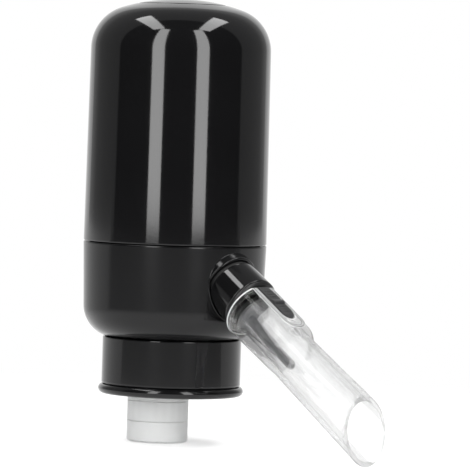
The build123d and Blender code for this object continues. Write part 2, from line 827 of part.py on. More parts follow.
with BuildPart() as clear_nozzle:
    extrude(
        window_plan(latch_front, lip_half_width, window_end - window_half_width),
        amount=rim_radius,
    )
    with BuildSketch(spout_side):
        with BuildLine():
            Polyline(
                (latch_front, 0),
                (shroud_end + window_lip, 0),
                (shroud_end + window_lip, lip_height_front),
                (latch_front, lip_height_back),
                (latch_front, 0),
            )
        make_face()
    extrude(amount=rim_radius, both=True, mode=Mode.INTERSECT)
    with BuildSketch(across(latch_front, rim_lift)):
        Circle(rim_radius)
    with BuildSketch(across(shroud_end, shroud_tip_lift)):
        Circle(shroud_tip_radius)
    loft()
    with BuildSketch(across(shroud_end, shroud_tip_lift)):
        Circle(shroud_tip_radius)
    with BuildSketch(across(shroud_end + shroud_fade)):
        Circle(nozzle_root_radius)
    loft()
    with BuildSketch(spout_side):
        with BuildLine():
            Polyline(
                (latch_front, 0),
                (latch_front, nozzle_root_radius),
                (shroud_end, nozzle_root_radius),
                (nozzle_stop, nozzle_root_radius + flare * (nozzle_stop - shroud_end)),
                (nozzle_stop, 0),
                (latch_front, 0),
            )
        make_face()
    revolve(axis=spout_axis)
    with BuildSketch(spout_side):
        with BuildLine():
            Polyline(
                (latch_front, 0),
                (latch_front, nozzle_bore_radius),
                (shroud_end, nozzle_bore_radius),
                (nozzle_stop, nozzle_bore_radius + bore_flare * (nozzle_stop - shroud_end)),
                (nozzle_stop, 0),
                (latch_front, 0),
            )
        make_face()
    revolve(axis=spout_axis, mode=Mode.SUBTRACT)
    split(bisect_by=mouth_face, keep=Keep.BOTTOM)
    extrude(
        window_plan(latch_front, window_half_width, window_end - window_half_width),
        amount=rim_radius,
        mode=Mode.SUBTRACT,
    )
    with BuildSketch(above(0)):
        with Locations((latch_front + joint_line, 0)):
            Rectangle(
                pin_place - latch_front,
                (tab_nose_half_width + fit_gap) * 2,
                align=(Align.MIN, Align.CENTER),
            )
    extrude(amount=window_floor, mode=Mode.SUBTRACT)
    with BuildSketch(spout_side):
        with Locations((pin_place, pin_lift)):
            Circle(pin_radius + hose_gap)
    extrude(amount=pin_length / 2 + hose_gap, both=True, mode=Mode.SUBTRACT)
clear_nozzle.part.label = "clear_nozzle"
export_step(clear_nozzle.part, "parts/clear_nozzle.step")

# Latch pin: the release tab rocks on it
with BuildPart() as latch_pin:
    with BuildSketch(spout_side):
        with Locations((pin_place, pin_lift)):
            Circle(pin_radius)
    extrude(amount=pin_length / 2, both=True)
latch_pin.part.label = "latch_pin"
export_step(latch_pin.part, "parts/latch_pin.step")

# Release tab: a matte finger plate with a ridge across its middle and a nose under its back
tab_half_width = window_half_width - tab_gap
tab_end = window_end - tab_gap
with BuildPart() as release_tab:
    extrude(
        window_plan(tab_back, tab_half_width, tab_end - tab_half_width),
        amount=rim_radius,
    )
    with BuildSketch(spout_side):
        with BuildLine():
            Polyline(
                (tab_back, tab_thickness_floor),
                (tab_end, tab_thickness_floor),
                (tab_end, tab_tip_top),
                (tab_slope_place, tab_second_top),
                (tab_ridge_place + tab_ridge_width, tab_second_top),
                (tab_ridge_place + tab_ridge_width / 2, tab_ridge_top),
                (tab_ridge_place, tab_ridge_top),
                (tab_ridge_place - tab_ridge_width * 2, tab_second_top),
                (tab_back, tab_top_back),
                (tab_back, tab_thickness_floor),
            )
        make_face()
    extrude(amount=tab_half_width, both=True, mode=Mode.INTERSECT)
    with BuildSketch(above(nozzle_bore_radius + slide_gap)):
        with Locations((tab_back + fit_gap, 0)):
            Rectangle(tab_nose_length, tab_nose_half_width * 2, align=(Align.MIN, Align.CENTER))
    extrude(amount=tab_thickness_floor - nozzle_bore_radius)
    with BuildSketch(spout_side):
        with Locations((pin_place, pin_lift)):
            Circle(pin_radius + shaft_gap)
    extrude(amount=tab_half_width, both=True, mode=Mode.SUBTRACT)
release_tab.part.label = "release_tab"
export_step(release_tab.part, "parts/release_tab.step")

# Upper cover: one tall cup with a domed crown, the button's guide and three posts
button_edge = crown_height(button_radius)
guide_low = button_edge - guide_depth
flange_low = guide_low - slide_gap - flange_height
retainer_top = flange_low - button_travel - button_gap
with BuildPart() as upper_cover:
    revolve(cover_outline(0), axis=body_axis)
    revolve(cover_outline(cover_wall), axis=body_axis, mode=Mode.SUBTRACT)
    with BuildSketch(level(guide_low)):
        Circle(button_radius + button_gap + guide_wall)
    extrude(amount=crown_height(button_radius, cover_wall / 2) - guide_low)
    with BuildSketch(level(retainer_top)):
        with Locations(*crown_places):
            Circle(crown_post_radius)
    extrude(amount=crown_height(crown_post_ring, cover_wall / 2) - retainer_top)
    with BuildSketch(level(guide_low)):
        Circle(button_radius + button_gap)
    extrude(amount=guide_depth + overrun, mode=Mode.SUBTRACT)
    with BuildSketch(level(retainer_top)):
        with Locations(*crown_places):
            Circle(screw_hole_radius)
    extrude(amount=small_screw_length - retainer_height, mode=Mode.SUBTRACT)
upper_cover.part.label = "upper_cover"
export_step(upper_cover.part, "parts/upper_cover.step")

# Power button: a shallow dome that goes on with the crown, a skirt, a flange and a plunger
board_top = retainer_top - board_drop
board_low = board_top - board_thickness
switch_top = board_top + switch_height
switch_pin_top = switch_top + switch_pin_rise
with BuildPart() as power_button:
    with BuildSketch(body_side):
        with BuildLine():
            Polyline(
                (0, crown_low + crown_radius - button_wall),
                (0, crown_low + crown_radius),
            )
            ThreePointArc(
                (0, crown_low + crown_radius),
                (button_radius / 2, crown_height(button_radius / 2)),
                (button_radius, button_edge),
            )
            Polyline(
                (button_radius, button_edge),
                (button_radius, flange_low + flange_height),
                (flange_radius, flange_low + flange_height),
                (flange_radius, flange_low),
                (button_radius - button_wall, flange_low),
                (button_radius - button_wall, crown_height(button_radius - button_wall, button_wall)),
            )
            ThreePointArc(
                (button_radius - button_wall, crown_height(button_radius - button_wall, button_wall)),
                (button_radius / 2, crown_height(button_radius / 2, button_wall)),
                (0, crown_low + crown_radius - button_wall),
            )
        make_face()
    revolve(axis=body_axis)
    with BuildSketch(level(switch_pin_top + slide_gap)):
        Circle(plunger_radius)
    extrude(amount=crown_low + crown_radius - button_wall / 2 - switch_pin_top)
power_button.part.label = "power_button"
export_step(power_button.part, "parts/power_button.step")

# Button retainer: a plate screwed to the crown's posts, under the button's flange
with BuildPart() as button_retainer:
    with BuildSketch(level(retainer_top)):
        Circle(crown_post_ring + crown_post_radius + fit_gap)
        Circle(plunger_hole_radius, mode=Mode.SUBTRACT)
        with Locations(*crown_places):
            Circle(screw_pass_radius, mode=Mode.SUBTRACT)
    extrude(amount=-retainer_height)
button_retainer.part.label = "button_retainer"
export_step(button_retainer.part, "parts/button_retainer.step")

retainer_screws = screw_group(
    level_down(retainer_top - retainer_height), crown_places, small_screw_length
)
retainer_screws.part.label = "retainer_screws"
export_step(retainer_screws.part, "parts/retainer_screws.step")

# Button spring: round wire between the retainer and the button's underside
spring_low = retainer_top + spring_wire + hose_gap
spring_high = crown_height(spring_radius + spring_wire, button_wall) - spring_wire - slide_gap
button_spring_height = spring_high - spring_low
with BuildPart() as button_spring:
    add(
        spring_coil(
            (0, body_y, spring_low), spring_radius, spring_wire, button_spring_height, spring_turns
        )
    )
button_spring.part.label = "button_spring"
export_step(button_spring.part, "parts/button_spring.step")
spring_least_gap = button_spring_height / spring_turns - spring_wire * 2
print("button spring: least gap between turns", round(spring_least_gap, 2))

# Switch board on the battery cap, with the switch body and its plunger
with BuildPart() as switch_board:
    with BuildSketch(level(board_low)):
        Circle(board_radius)
        with Locations(*board_places):
            Circle(screw_pass_radius, mode=Mode.SUBTRACT)
    extrude(amount=board_thickness)
switch_board.part.label = "switch_board"
export_step(switch_board.part, "parts/switch_board.step")

board_screws = screw_group(level(board_top), board_places, small_screw_length)
board_screws.part.label = "board_screws"
export_step(board_screws.part, "parts/board_screws.step")

switch_well = button_travel + fit_gap + switch_pin_rise / 2
with BuildPart() as switch_body:
    with BuildSketch(level(board_top)):
        Rectangle(switch_side, switch_side)
    extrude(amount=switch_height)
    with BuildSketch(level(switch_top)):
        Circle(switch_pin_radius + slide_gap)
    extrude(amount=-switch_well, mode=Mode.SUBTRACT)
switch_body.part.label = "switch_body"
export_step(switch_body.part, "parts/switch_body.step")

with BuildPart() as switch_plunger:
    with BuildSketch(level(switch_pin_top)):
        Circle(switch_pin_radius)
    extrude(amount=-switch_pin_rise - switch_pin_rise / 2)
switch_plunger.part.label = "switch_plunger"
export_step(switch_plunger.part, "parts/switch_plunger.step")

# Battery base: a plate on the housing's posts with a sleeve for the motor and three columns
sleeve_radius = can_radius + base_plate_thickness
with BuildPart() as battery_base:
    with BuildSketch(level(chassis_top)):
        Circle(base_plate_radius)
    extrude(amount=base_plate_thickness)
    with BuildSketch(level(can_low)):
        Circle(sleeve_radius)
        with Locations((bracket_screw_place, 0), (-bracket_screw_place, 0)):
            Circle(carrier_post_radius)
    extrude(amount=chassis_top - can_low)
    with BuildSketch(level(plate_top)):
        with Locations(*carrier_places):
            Circle(carrier_post_radius)
    extrude(amount=cap_low - plate_top)
    with BuildSketch(level(can_low)):
        Circle(can_radius + slide_gap)
    extrude(amount=plate_top - can_low, mode=Mode.SUBTRACT)
    with BuildSketch(level(can_low)):
        with Locations((bracket_screw_place, 0), (-bracket_screw_place, 0)):
            Circle(screw_hole_radius)
    extrude(amount=small_screw_length, mode=Mode.SUBTRACT)
    with BuildSketch(level(chassis_top)):
        with Locations(*chassis_places):
            Circle(screw_pass_radius)
    extrude(amount=base_plate_thickness, mode=Mode.SUBTRACT)
    with BuildSketch(level(cap_low)):
        with Locations(*carrier_places):
            Circle(screw_hole_radius)
    extrude(amount=-screw_length, mode=Mode.SUBTRACT)
battery_base.part.label = "battery_base"
export_step(battery_base.part, "parts/battery_base.step")

chassis_screws = screw_group(level(plate_top), chassis_places, screw_length)
chassis_screws.part.label = "chassis_screws"
export_step(chassis_screws.part, "parts/chassis_screws.step")

# Battery cap: the plate above the cells, with two posts for the switch board
with BuildPart() as battery_cap:
    with BuildSketch(level(cap_low)):
        Circle(cap_radius)
    extrude(amount=base_plate_thickness)
    with BuildSketch(level(cap_top)):
        with Locations(*board_places):
            Circle(board_post_radius)
    extrude(amount=board_low - cap_top)
    with BuildSketch(level(cap_low)):
        Circle(cap_hole_radius)
        with Locations(*carrier_places):
            Circle(screw_pass_radius)
    extrude(amount=base_plate_thickness, mode=Mode.SUBTRACT)
    with BuildSketch(level(board_low)):
        with Locations(*board_places):
            Circle(screw_hole_radius)
    extrude(amount=-small_screw_length, mode=Mode.SUBTRACT)
battery_cap.part.label = "battery_cap"
export_step(battery_cap.part, "parts/battery_cap.step")

carrier_screws = screw_group(level(cap_top), carrier_places, screw_length)
carrier_screws.part.label = "carrier_screws"
export_step(carrier_screws.part, "parts/carrier_screws.step")

# Six cells in a ring, turned end for end by turns
for number, place in enumerate(cell_places, start=1):
    upright = number % 2 == 1
    can_start = cell_spring_height if upright else contact_gap + cell_nub_height
    nub_start = cell_spring_height + cell_length if upright else contact_gap
    with BuildPart() as cell:
        with BuildSketch(level(cell_low + can_start)):
            with Locations(place):
                Circle(cell_radius)
        extrude(amount=cell_length)
        with BuildSketch(level(cell_low + nub_start)):
            with Locations(place):
                Circle(cell_nub_radius)
        extrude(amount=cell_nub_height)
    cell.part.label = f"battery_{number}"
    export_step(cell.part, f"parts/battery_{number}.step")

# Contact springs: one under each upright cell and one above each turned one
coil_height = cell_spring_height - cell_spring_wire * 2 - contact_gap
with BuildPart() as contact_springs:
    for number, (place_x, place_y) in enumerate(cell_places, start=1):
        upright = number % 2 == 1
        way = 1 if upright else -1
        coil_start = cell_low if upright else cell_low + cell_room
        coil_centre = (place_x, body_y + place_y, coil_start + way * cell_spring_wire)
        add(
            spring_coil(
                coil_centre, cell_spring_radius, cell_spring_wire, coil_height, cell_spring_turns, way
            )
        )
contact_springs.part.label = "contact_springs"
export_step(contact_springs.part, "parts/contact_springs.step")
print("contact springs: least gap", round(coil_height / cell_spring_turns - cell_spring_wire * 2, 2))


def contact_group(height, first):
    # thin plates, each joining two neighbouring cells
    with BuildPart() as contacts:
        for pair in range(first, cell_count, 2):
            here = cell_places[pair]
            there = cell_places[(pair + 1) % cell_count]
            with BuildSketch(level(height)):
                with Locations(here, there):
                    Circle(contact_width / 2)
            extrude(amount=contact_thickness)
            middle = ((here[0] + there[0]) / 2, (here[1] + there[1]) / 2)
            turn = math.degrees(math.atan2(there[1] - here[1], there[0] - here[0]))
            reach = math.dist(here, there)
            with BuildSketch(level(height)):
                with Locations(Location((middle[0], middle[1], 0), (0, 0, turn))):
                    Rectangle(reach, contact_width / 2)
            extrude(amount=contact_thickness)
        with BuildSketch(level(height)):
            with Locations(*carrier_places):
                Circle(carrier_post_radius + fit_gap)
        extrude(amount=contact_thickness, mode=Mode.SUBTRACT)
    return contacts


lower_contacts = contact_group(plate_top, 0)
lower_contacts.part.label = "lower_contacts"
export_step(lower_contacts.part, "parts/lower_contacts.step")
upper_contacts = contact_group(cap_low - contact_thickness, 1)
upper_contacts.part.label = "upper_contacts"
export_step(upper_contacts.part, "parts/upper_contacts.step")

# Cover seal: a soft ring on the housing's lip, inside the cover's skirt
cover_bore = body_radius - cover_wall
with BuildPart() as cover_seal:
    with BuildSketch(body_side):
        with Locations((cover_bore - slide_gap - seal_wire, seam + seal_rise)):
            Circle(seal_wire - hose_gap)
    revolve(axis=body_axis)
cover_seal.part.label = "cover_seal"
export_step(cover_seal.part, "parts/cover_seal.step")

# Motor: a can with two magnets, an end cap, two bushes and a three-pole core on its shaft
can_top = can_low + can_length
with BuildPart() as motor_can:
    with BuildSketch(level(can_low)):
        Circle(can_radius)
    extrude(amount=can_length)
    with BuildSketch(level(can_low + can_wall)):
        Circle(can_radius - can_wall)
    extrude(amount=can_length, mode=Mode.SUBTRACT)
    with BuildSketch(level(can_low)):
        Circle(bush_radius)
    extrude(amount=can_wall, mode=Mode.SUBTRACT)
motor_can.part.label = "motor_can"
export_step(motor_can.part, "parts/motor_can.step")

with BuildPart() as motor_end_cap:
    with BuildSketch(level(can_top)):
        Circle(can_radius)
    extrude(amount=end_cap_height - can_wall)
    with BuildSketch(level(can_top - can_wall)):
        Circle(can_radius - can_wall - hose_gap)
    extrude(amount=can_wall)
    with BuildSketch(level(can_top - can_wall)):
        Circle(bush_radius)
    extrude(amount=end_cap_height, mode=Mode.SUBTRACT)
motor_end_cap.part.label = "motor_end_cap"
export_step(motor_end_cap.part, "parts/motor_end_cap.step")

with BuildPart() as motor_bushes:
    for start in (can_low, can_top + end_cap_height - can_wall - bush_length):
        with BuildSketch(level(start)):
            Circle(bush_radius - hose_gap)
            Circle(shaft_radius + shaft_gap, mode=Mode.SUBTRACT)
        extrude(amount=bush_length)
motor_bushes.part.label = "motor_bushes"
export_step(motor_bushes.part, "parts/motor_bushes.step")

magnet_outer = can_radius - can_wall - hose_gap
magnet_low = can_low + core_rise - (magnet_length - core_length) / 2
with BuildPart() as motor_magnets:
    for middle in (0, quarter_turn * 2):
        with BuildSketch(level(magnet_low)):
            with BuildLine():
                start = middle - magnet_angle / 2
                CenterArc((0, 0), magnet_outer, start, magnet_angle)
                CenterArc((0, 0), magnet_outer - magnet_thickness, start, magnet_angle)
                for angle in (start, start + magnet_angle):
                    PolarLine(
                        (
                            (magnet_outer - magnet_thickness) * math.cos(math.radians(angle)),
                            (magnet_outer - magnet_thickness) * math.sin(math.radians(angle)),
                        ),
                        magnet_thickness,
                        angle,
                    )
            make_face()
        extrude(amount=magnet_length)
motor_magnets.part.label = "motor_magnets"
export_step(motor_magnets.part, "parts/motor_magnets.step")

shaft_low = can_low - bracket_thickness - crank_height - fit_gap * 2
shaft_top = can_top + end_cap_height - can_wall
with BuildPart() as motor_shaft:
    with BuildSketch(level(shaft_low)):
        Circle(shaft_radius)
    extrude(amount=shaft_top - shaft_low)
motor_shaft.part.label = "motor_shaft"
export_step(motor_shaft.part, "parts/motor_shaft.step")

core_low = can_low + core_rise
with BuildPart() as rotor_core:
    with BuildSketch(level(core_low)):
        Circle(core_radius)
        with PolarLocations(core_radius, pole_count):
            Rectangle(core_radius * pole_slot_share * 2, pole_slot, mode=Mode.SUBTRACT)
    extrude(amount=core_length)
    with BuildSketch(level(core_low + core_length)):
        Circle(commutator_radius)
    extrude(amount=commutator_length)
    with BuildSketch(level(core_low)):
        Circle(shaft_radius + hose_gap)
    extrude(amount=core_length + commutator_length, mode=Mode.SUBTRACT)
rotor_core.part.label = "rotor_core"
export_step(rotor_core.part, "parts/rotor_core.step")

# Motor bracket: a plate under the motor with two ears screwed to the battery base
with BuildPart() as motor_bracket:
    with BuildSketch(level(bracket_low)):
        Circle(bracket_radius)
        Rectangle(bracket_reach * 2, bracket_width)
        Circle(crank_radius + fit_gap, mode=Mode.SUBTRACT)
        with Locations((bracket_screw_place, 0), (-bracket_screw_place, 0)):
            Circle(screw_pass_radius, mode=Mode.SUBTRACT)
    extrude(amount=bracket_thickness)
motor_bracket.part.label = "motor_bracket"
export_step(motor_bracket.part, "parts/motor_bracket.step")

bracket_places = [(bracket_screw_place, 0), (-bracket_screw_place, 0)]
bracket_screws = screw_group(level_down(bracket_low), bracket_places, small_screw_length)
bracket_screws.part.label = "bracket_screws"
export_step(bracket_screws.part, "parts/bracket_screws.step")

# Air pump: crank, wobble plate, diaphragm, valve plate and head under the bracket
with BuildPart() as pump_crank:
    with BuildSketch(level(shaft_low)):
        Circle(crank_radius)
    extrude(amount=crank_height)
    with BuildSketch(level(shaft_low)):
        with Locations((crank_throw, 0)):
            Circle(crank_pin_radius)
    extrude(amount=-crank_pin_length)
    with BuildSketch(level(shaft_low)):
        Circle(shaft_radius + hose_gap)
    extrude(amount=crank_height, mode=Mode.SUBTRACT)
pump_crank.part.label = "pump_crank"
export_step(pump_crank.part, "parts/pump_crank.step")

with BuildPart() as pump_case:
    with BuildSketch(level(case_low)):
        Circle(pump_radius)
        Circle(pump_radius - pump_wall, mode=Mode.SUBTRACT)
    extrude(amount=pump_case_height)
pump_case.part.label = "pump_case"
export_step(pump_case.part, "parts/pump_case.step")

wobble_low = case_low + diaphragm_cup_height + hose_gap
with BuildPart() as wobble_plate:
    with BuildSketch(level(wobble_low)):
        Circle(wobble_radius)
        Circle(wobble_bore_radius, mode=Mode.SUBTRACT)
    extrude(amount=wobble_thickness)
    with BuildSketch(level(wobble_low)):
        Circle(wobble_hub_radius)
        Circle(wobble_bore_radius, mode=Mode.SUBTRACT)
    extrude(amount=wobble_thickness * 2)
wobble_plate.part.label = "wobble_plate"
export_step(wobble_plate.part, "parts/wobble_plate.step")

cup_places = ring_places(diaphragm_cup_ring, post_count, quarter_turn)
with BuildPart() as pump_diaphragm:
    with BuildSketch(level(diaphragm_low)):
        Circle(pump_radius)
    extrude(amount=diaphragm_thickness)
    with BuildSketch(level(case_low)):
        with Locations(*cup_places):
            Circle(diaphragm_cup_radius)
    extrude(amount=diaphragm_cup_height)
    with BuildSketch(level(diaphragm_low)):
        with Locations(*cup_places):
            Circle(diaphragm_cup_radius - diaphragm_thickness / 2)
    extrude(amount=diaphragm_cup_height, mode=Mode.SUBTRACT)
pump_diaphragm.part.label = "pump_diaphragm"
export_step(pump_diaphragm.part, "parts/pump_diaphragm.step")

with BuildPart() as valve_plate:
    with BuildSketch(level(valve_low)):
        Circle(pump_radius)
        with Locations(*cup_places):
            Circle(air_passage_radius, mode=Mode.SUBTRACT)
    extrude(amount=valve_plate_thickness)
valve_plate.part.label = "valve_plate"
export_step(valve_plate.part, "parts/valve_plate.step")

nipple_y = air_offset + plug_offset
with BuildPart() as pump_head:
    with BuildSketch(level(head_low)):
        Circle(pump_radius)
    extrude(amount=pump_head_height)
    with BuildSketch(level(valve_low)):
        Circle(pump_radius - pump_wall * 2)
    extrude(amount=-pump_head_height / 2, mode=Mode.SUBTRACT)
    with BuildSketch(level(head_low)):
        with Locations((0, nipple_y)):
            Circle(nipple_radius)
    extrude(amount=-nipple_length)
    with BuildSketch(level(head_low - nipple_length)):
        with Locations((0, nipple_y)):
            Circle(air_passage_radius)
    extrude(amount=nipple_length + pump_head_height / 2, mode=Mode.SUBTRACT)
pump_head.part.label = "pump_head"
export_step(pump_head.part, "parts/pump_head.step")

# Air hose: straight from the pump's nipple down to the barb on the plug core
with BuildPart() as air_hose:
    with BuildSketch(Plane.XY.offset(core_top + hose_gap)):
        with Locations((0, air_offset)):
            Circle(air_hose_radius)
            Circle(nipple_radius + hose_gap, mode=Mode.SUBTRACT)
    extrude(amount=head_low - core_top - hose_gap * 2)
air_hose.part.label = "air_hose"
export_step(air_hose.part, "parts/air_hose.step")

# Wine hose: up from the plug core, forward under the pump and up to the elbow
with BuildPart() as wine_hose:
    with BuildLine() as hose_path:
        FilletPolyline(
            (0, 0, core_top + hose_gap),
            (0, 0, wine_hose_rise),
            (0, elbow_y, wine_hose_rise),
            (0, elbow_y, wine_hose_top),
            radius=wine_hose_bend,
        )
    with BuildSketch(Plane(origin=hose_path.line @ 0, z_dir=hose_path.line % 0)):
        Circle(wine_hose_radius)
        Circle(wine_hose_bore, mode=Mode.SUBTRACT)
    sweep()
wine_hose.part.label = "wine_hose"
export_step(wine_hose.part, "parts/wine_hose.step")
hose_section = math.pi * (wine_hose_radius**2 - wine_hose_bore**2)
print("wine hose: volume", round(wine_hose.part.volume, 1))
hose_length = sum(edge.length for edge in hose_path.edges())
print("wine hose: section times length", round(hose_section * hose_length, 1))

# Power leads: two wires from the motor's end cap up through the battery cap to the board
with BuildPart() as power_leads:
    for side in (1, -1):
        with BuildLine() as lead_path:
            FilletPolyline(
                (side * lead_place, body_y, can_top + end_cap_height - can_wall + hose_gap),
                (side * lead_place, body_y, (can_top + cap_low) / 2),
                (side * (lead_place - lead_inset), body_y, cap_low - base_plate_thickness),
                (side * (lead_place - lead_inset), body_y, board_low - hose_gap),
                radius=lead_place,
            )
        with BuildSketch(Plane(origin=lead_path.line @ 0, z_dir=lead_path.line % 0)):
            Circle(lead_radius)
        sweep(path=lead_path.line)
power_leads.part.label = "power_leads"
export_step(power_leads.part, "parts/power_leads.step")
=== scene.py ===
import json
from math import acos, atan2, cos, degrees, hypot, pi, radians, sin, sqrt, tan

import bmesh
import bpy
from mathutils import Matrix, Vector


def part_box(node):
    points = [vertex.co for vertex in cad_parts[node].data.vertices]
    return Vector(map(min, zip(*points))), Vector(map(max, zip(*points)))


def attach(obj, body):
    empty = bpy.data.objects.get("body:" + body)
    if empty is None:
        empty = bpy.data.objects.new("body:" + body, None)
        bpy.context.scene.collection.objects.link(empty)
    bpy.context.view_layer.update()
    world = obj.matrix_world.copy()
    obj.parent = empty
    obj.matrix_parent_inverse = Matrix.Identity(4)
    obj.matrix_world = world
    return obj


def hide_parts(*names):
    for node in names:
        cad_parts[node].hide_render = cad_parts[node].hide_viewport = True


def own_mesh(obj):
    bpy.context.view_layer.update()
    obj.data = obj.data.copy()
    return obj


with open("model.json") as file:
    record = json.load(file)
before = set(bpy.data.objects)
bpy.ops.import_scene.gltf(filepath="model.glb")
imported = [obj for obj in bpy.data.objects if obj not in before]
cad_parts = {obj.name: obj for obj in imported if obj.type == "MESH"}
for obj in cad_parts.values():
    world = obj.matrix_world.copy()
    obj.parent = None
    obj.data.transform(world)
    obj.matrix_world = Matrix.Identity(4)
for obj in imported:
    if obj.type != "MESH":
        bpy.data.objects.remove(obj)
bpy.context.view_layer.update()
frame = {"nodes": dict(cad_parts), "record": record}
scene = bpy.context.scene
scene.view_settings.view_transform = "Standard"

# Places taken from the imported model, in metres
coverLow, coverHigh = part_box("upper_cover")
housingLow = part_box("lower_housing")[0]
ringLow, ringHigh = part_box("base_ring")
collarLow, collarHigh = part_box("neck_collar")
buttonLow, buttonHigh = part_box("power_button")
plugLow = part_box("bottle_plug")[0]
bodyY = (coverLow.y + coverHigh.y) / 2
bodyRadius = (coverHigh.x - coverLow.x) / 2
crownTop = buttonHigh.z
seamGap = 0.0003
seam = coverLow.z - seamGap  # the housing's rim

slope = radians(32)
spoutReach = 0.030
spoutDrop = 0.015
spoutWay = Vector((0, -cos(slope), -sin(slope)))
spoutUp = Vector((0, -sin(slope), cos(slope)))
spoutRoot = Vector((0, bodyY - spoutReach, seam - spoutDrop))
knuckleLift = 0.0015
tailLift = 0.002

# Roundings of small edges, and the distance under which two points are one
hairEdge = 0.0001
fineEdge = 0.0002
softEdge = 0.0003
roundEdge = 0.0004
samePoint = 1e-7
sharpTurn = 40  # degrees; where a surface turns by more, its edge shows

# Local frames, each with Z along the piece's own axis
bodyFrame = Matrix.Translation((0, bodyY, 0))
plugFrame = Matrix.Identity(4)
spoutFrame = Matrix((
    (1, 0, 0, spoutRoot.x),
    (0, spoutUp.y, spoutWay.y, spoutRoot.y),
    (0, spoutUp.z, spoutWay.z, spoutRoot.z),
    (0, 0, 0, 1),
))


def polar(radius, angle, lift=0.0):
    return radius * cos(angle), lift + radius * sin(angle)


def arcPoints(centreR, centreH, radius, fromAngle, toAngle, count):
    # points of a round stretch of an outline, angles in degrees
    points = []
    for n in range(count + 1):
        r, h = polar(radius, radians(fromAngle + (toAngle - fromAngle) * n / count), centreH)
        points.append((centreR + r, h, 0))
    return points


def rounded(corners, edge=hairEdge):
    # outline from corners (r, h, radius), or (r, h) for the usual edge; each turns on a small supported arc
    line, count, supportAt, longestRun = [], 4, 1.9, 0.45
    corners = [(*corner, edge)[:3] for corner in corners]
    for n, (r, h, radius) in enumerate(corners):
        if radius == 0:
            line.append((r, h))
            continue
        here = Vector((r, h))
        before = Vector(corners[n - 1][:2]) - here
        after = Vector(corners[(n + 1) % len(corners)][:2]) - here
        half = before.angle(after) / 2
        run = min(radius / tan(half), before.length * longestRun, after.length * longestRun)
        bend = run * tan(half)
        before.normalize()
        after.normalize()
        centre = here + (before + after).normalized() * bend / sin(half)
        start = here + before * run
        stop = here + after * run
        line.append(tuple(here + before * run * supportAt))
        for step in range(count + 1):
            line.append(tuple(centre + (start - centre).slerp(stop - centre, step / count) * bend))
        line.append(tuple(here + after * run * supportAt))
    return line


def turns(count):
    return [2 * pi * n / count for n in range(count)]


def ringFaces(rings, closed=True):
    # faces between rings of corner numbers, where a ring of one corner is a pole
    faces = []
    for low, high in zip(rings, rings[1:] + rings[:closed]):
        steps = max(len(low), len(high))
        for n in range(steps if steps > 1 else 0):
            m = (n + 1) % steps
            corners = low[n % len(low)], low[m % len(low)], high[m % len(high)], high[n % len(high)]
            faces.append(tuple(dict.fromkeys(corners)))
    return faces


def gridFaces(count, steps, closed=True):
    # faces between count rings of steps corners each
    return ringFaces([range(n * steps, (n + 1) * steps) for n in range(count)], closed)


def turned(line, steps=128, lift=0.0, way=None):
    # a surface of revolution about Z; lift raises its centre, way maps each point (x, y, h) to its place
    verts, rings = [], []
    for r, h in line:
        start = len(verts)
        verts += [(0, lift, h)] if r < samePoint else [(*polar(r, turn, lift), h) for turn in turns(steps)]
        rings.append(range(start, len(verts)))
    faces = ringFaces(rings)
    if way:
        verts = [way(*vert) for vert in verts]
    return verts, faces


def withEnds(verts, faces, steps):
    # closes the first and the last ring
    total = len(verts)
    return verts, faces + [tuple(range(steps)), tuple(range(total - 1, total - steps - 1, -1))]


def joined(*shapes):
    # several (verts, faces) as one
    verts, faces = [], []
    for more, sides in shapes:
        start = len(verts)
        verts.extend(more)
        faces.extend([tuple(start + corner for corner in side) for side in sides])
    return verts, faces


def madeMesh(name, shape, place, merge=True):
    mesh = bpy.data.meshes.new(name)
    mesh.from_pydata([place @ Vector(vert) for vert in shape[0]], [], shape[1])
    form = bmesh.new()
    form.from_mesh(mesh)
    if merge:
        bmesh.ops.remove_doubles(form, verts=form.verts, dist=samePoint)
    bmesh.ops.recalc_face_normals(form, faces=form.faces)
    form.to_mesh(mesh)
    form.free()
    return mesh


def linked(name, content):
    thing = bpy.data.objects.new(name, content)
    scene.collection.objects.link(thing)
    return thing


def addPiece(name, shape, place, material, body, nodes=(), sharp=sharpTurn):
    # one mesh object in the part's frame that rides on its body
    mesh = madeMesh(name, shape, place)
    mesh.materials.append(material)
    mesh.shade_smooth()
    mesh.set_sharp_from_angle(angle=radians(sharp))
    piece = linked(name, mesh)
    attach(piece, body)
    if nodes:
        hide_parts(*nodes)
    return piece


def cutWith(target, name, shape, operation="DIFFERENCE"):
    # applies one boolean with a shape in the spout's frame, then removes the cutter
    cutter = linked(name, madeMesh(name, shape, spoutFrame, merge=False))
    change = target.modifiers.new("cut", "BOOLEAN")
    change.operation = operation
    change.solver = "EXACT"
    change.object = cutter
    graph = bpy.context.evaluated_depsgraph_get()
    mesh = bpy.data.meshes.new_from_object(target.evaluated_get(graph))
    target.modifiers.clear()
    old = target.data
    target.data = mesh
    bpy.data.meshes.remove(old)
    bpy.data.objects.remove(cutter)


# Materials

def feed(tree, node, given):
    # each named input takes another node's output or a plain value
    for key, source in given.items():
        if isinstance(source, bpy.types.NodeSocket):
            tree.links.new(source, node.inputs[key])
        else:
            node.inputs[key].default_value = source


def addNode(tree, kind, given, output=None, **settings):
    # a shader node, or one of its outputs
    node = tree.nodes.new(f"ShaderNode{kind}")
    for key, setting in settings.items():
        setattr(node, key, setting)
    feed(tree, node, given)
    return node.outputs[output] if output else node


def mathNode(tree, operation, *values):
    return addNode(tree, "Math", dict(enumerate(values)), "Value", operation=operation)


def mapped(tree, value, start, stop, low=0, high=1, soft=False):
    # start to stop becomes low to high
    return addNode(tree, "MapRange", {
        "Value": value, "From Min": start, "From Max": stop, "To Min": low, "To Max": high,
    }, "Result", interpolation_type="SMOOTHSTEP" if soft else "LINEAR")


def bumps(tree, height, look):
    given = {"Height": height, "Strength": look["bump"], "Distance": look["bumpDepth"]}
    return addNode(tree, "Bump", given, "Normal")


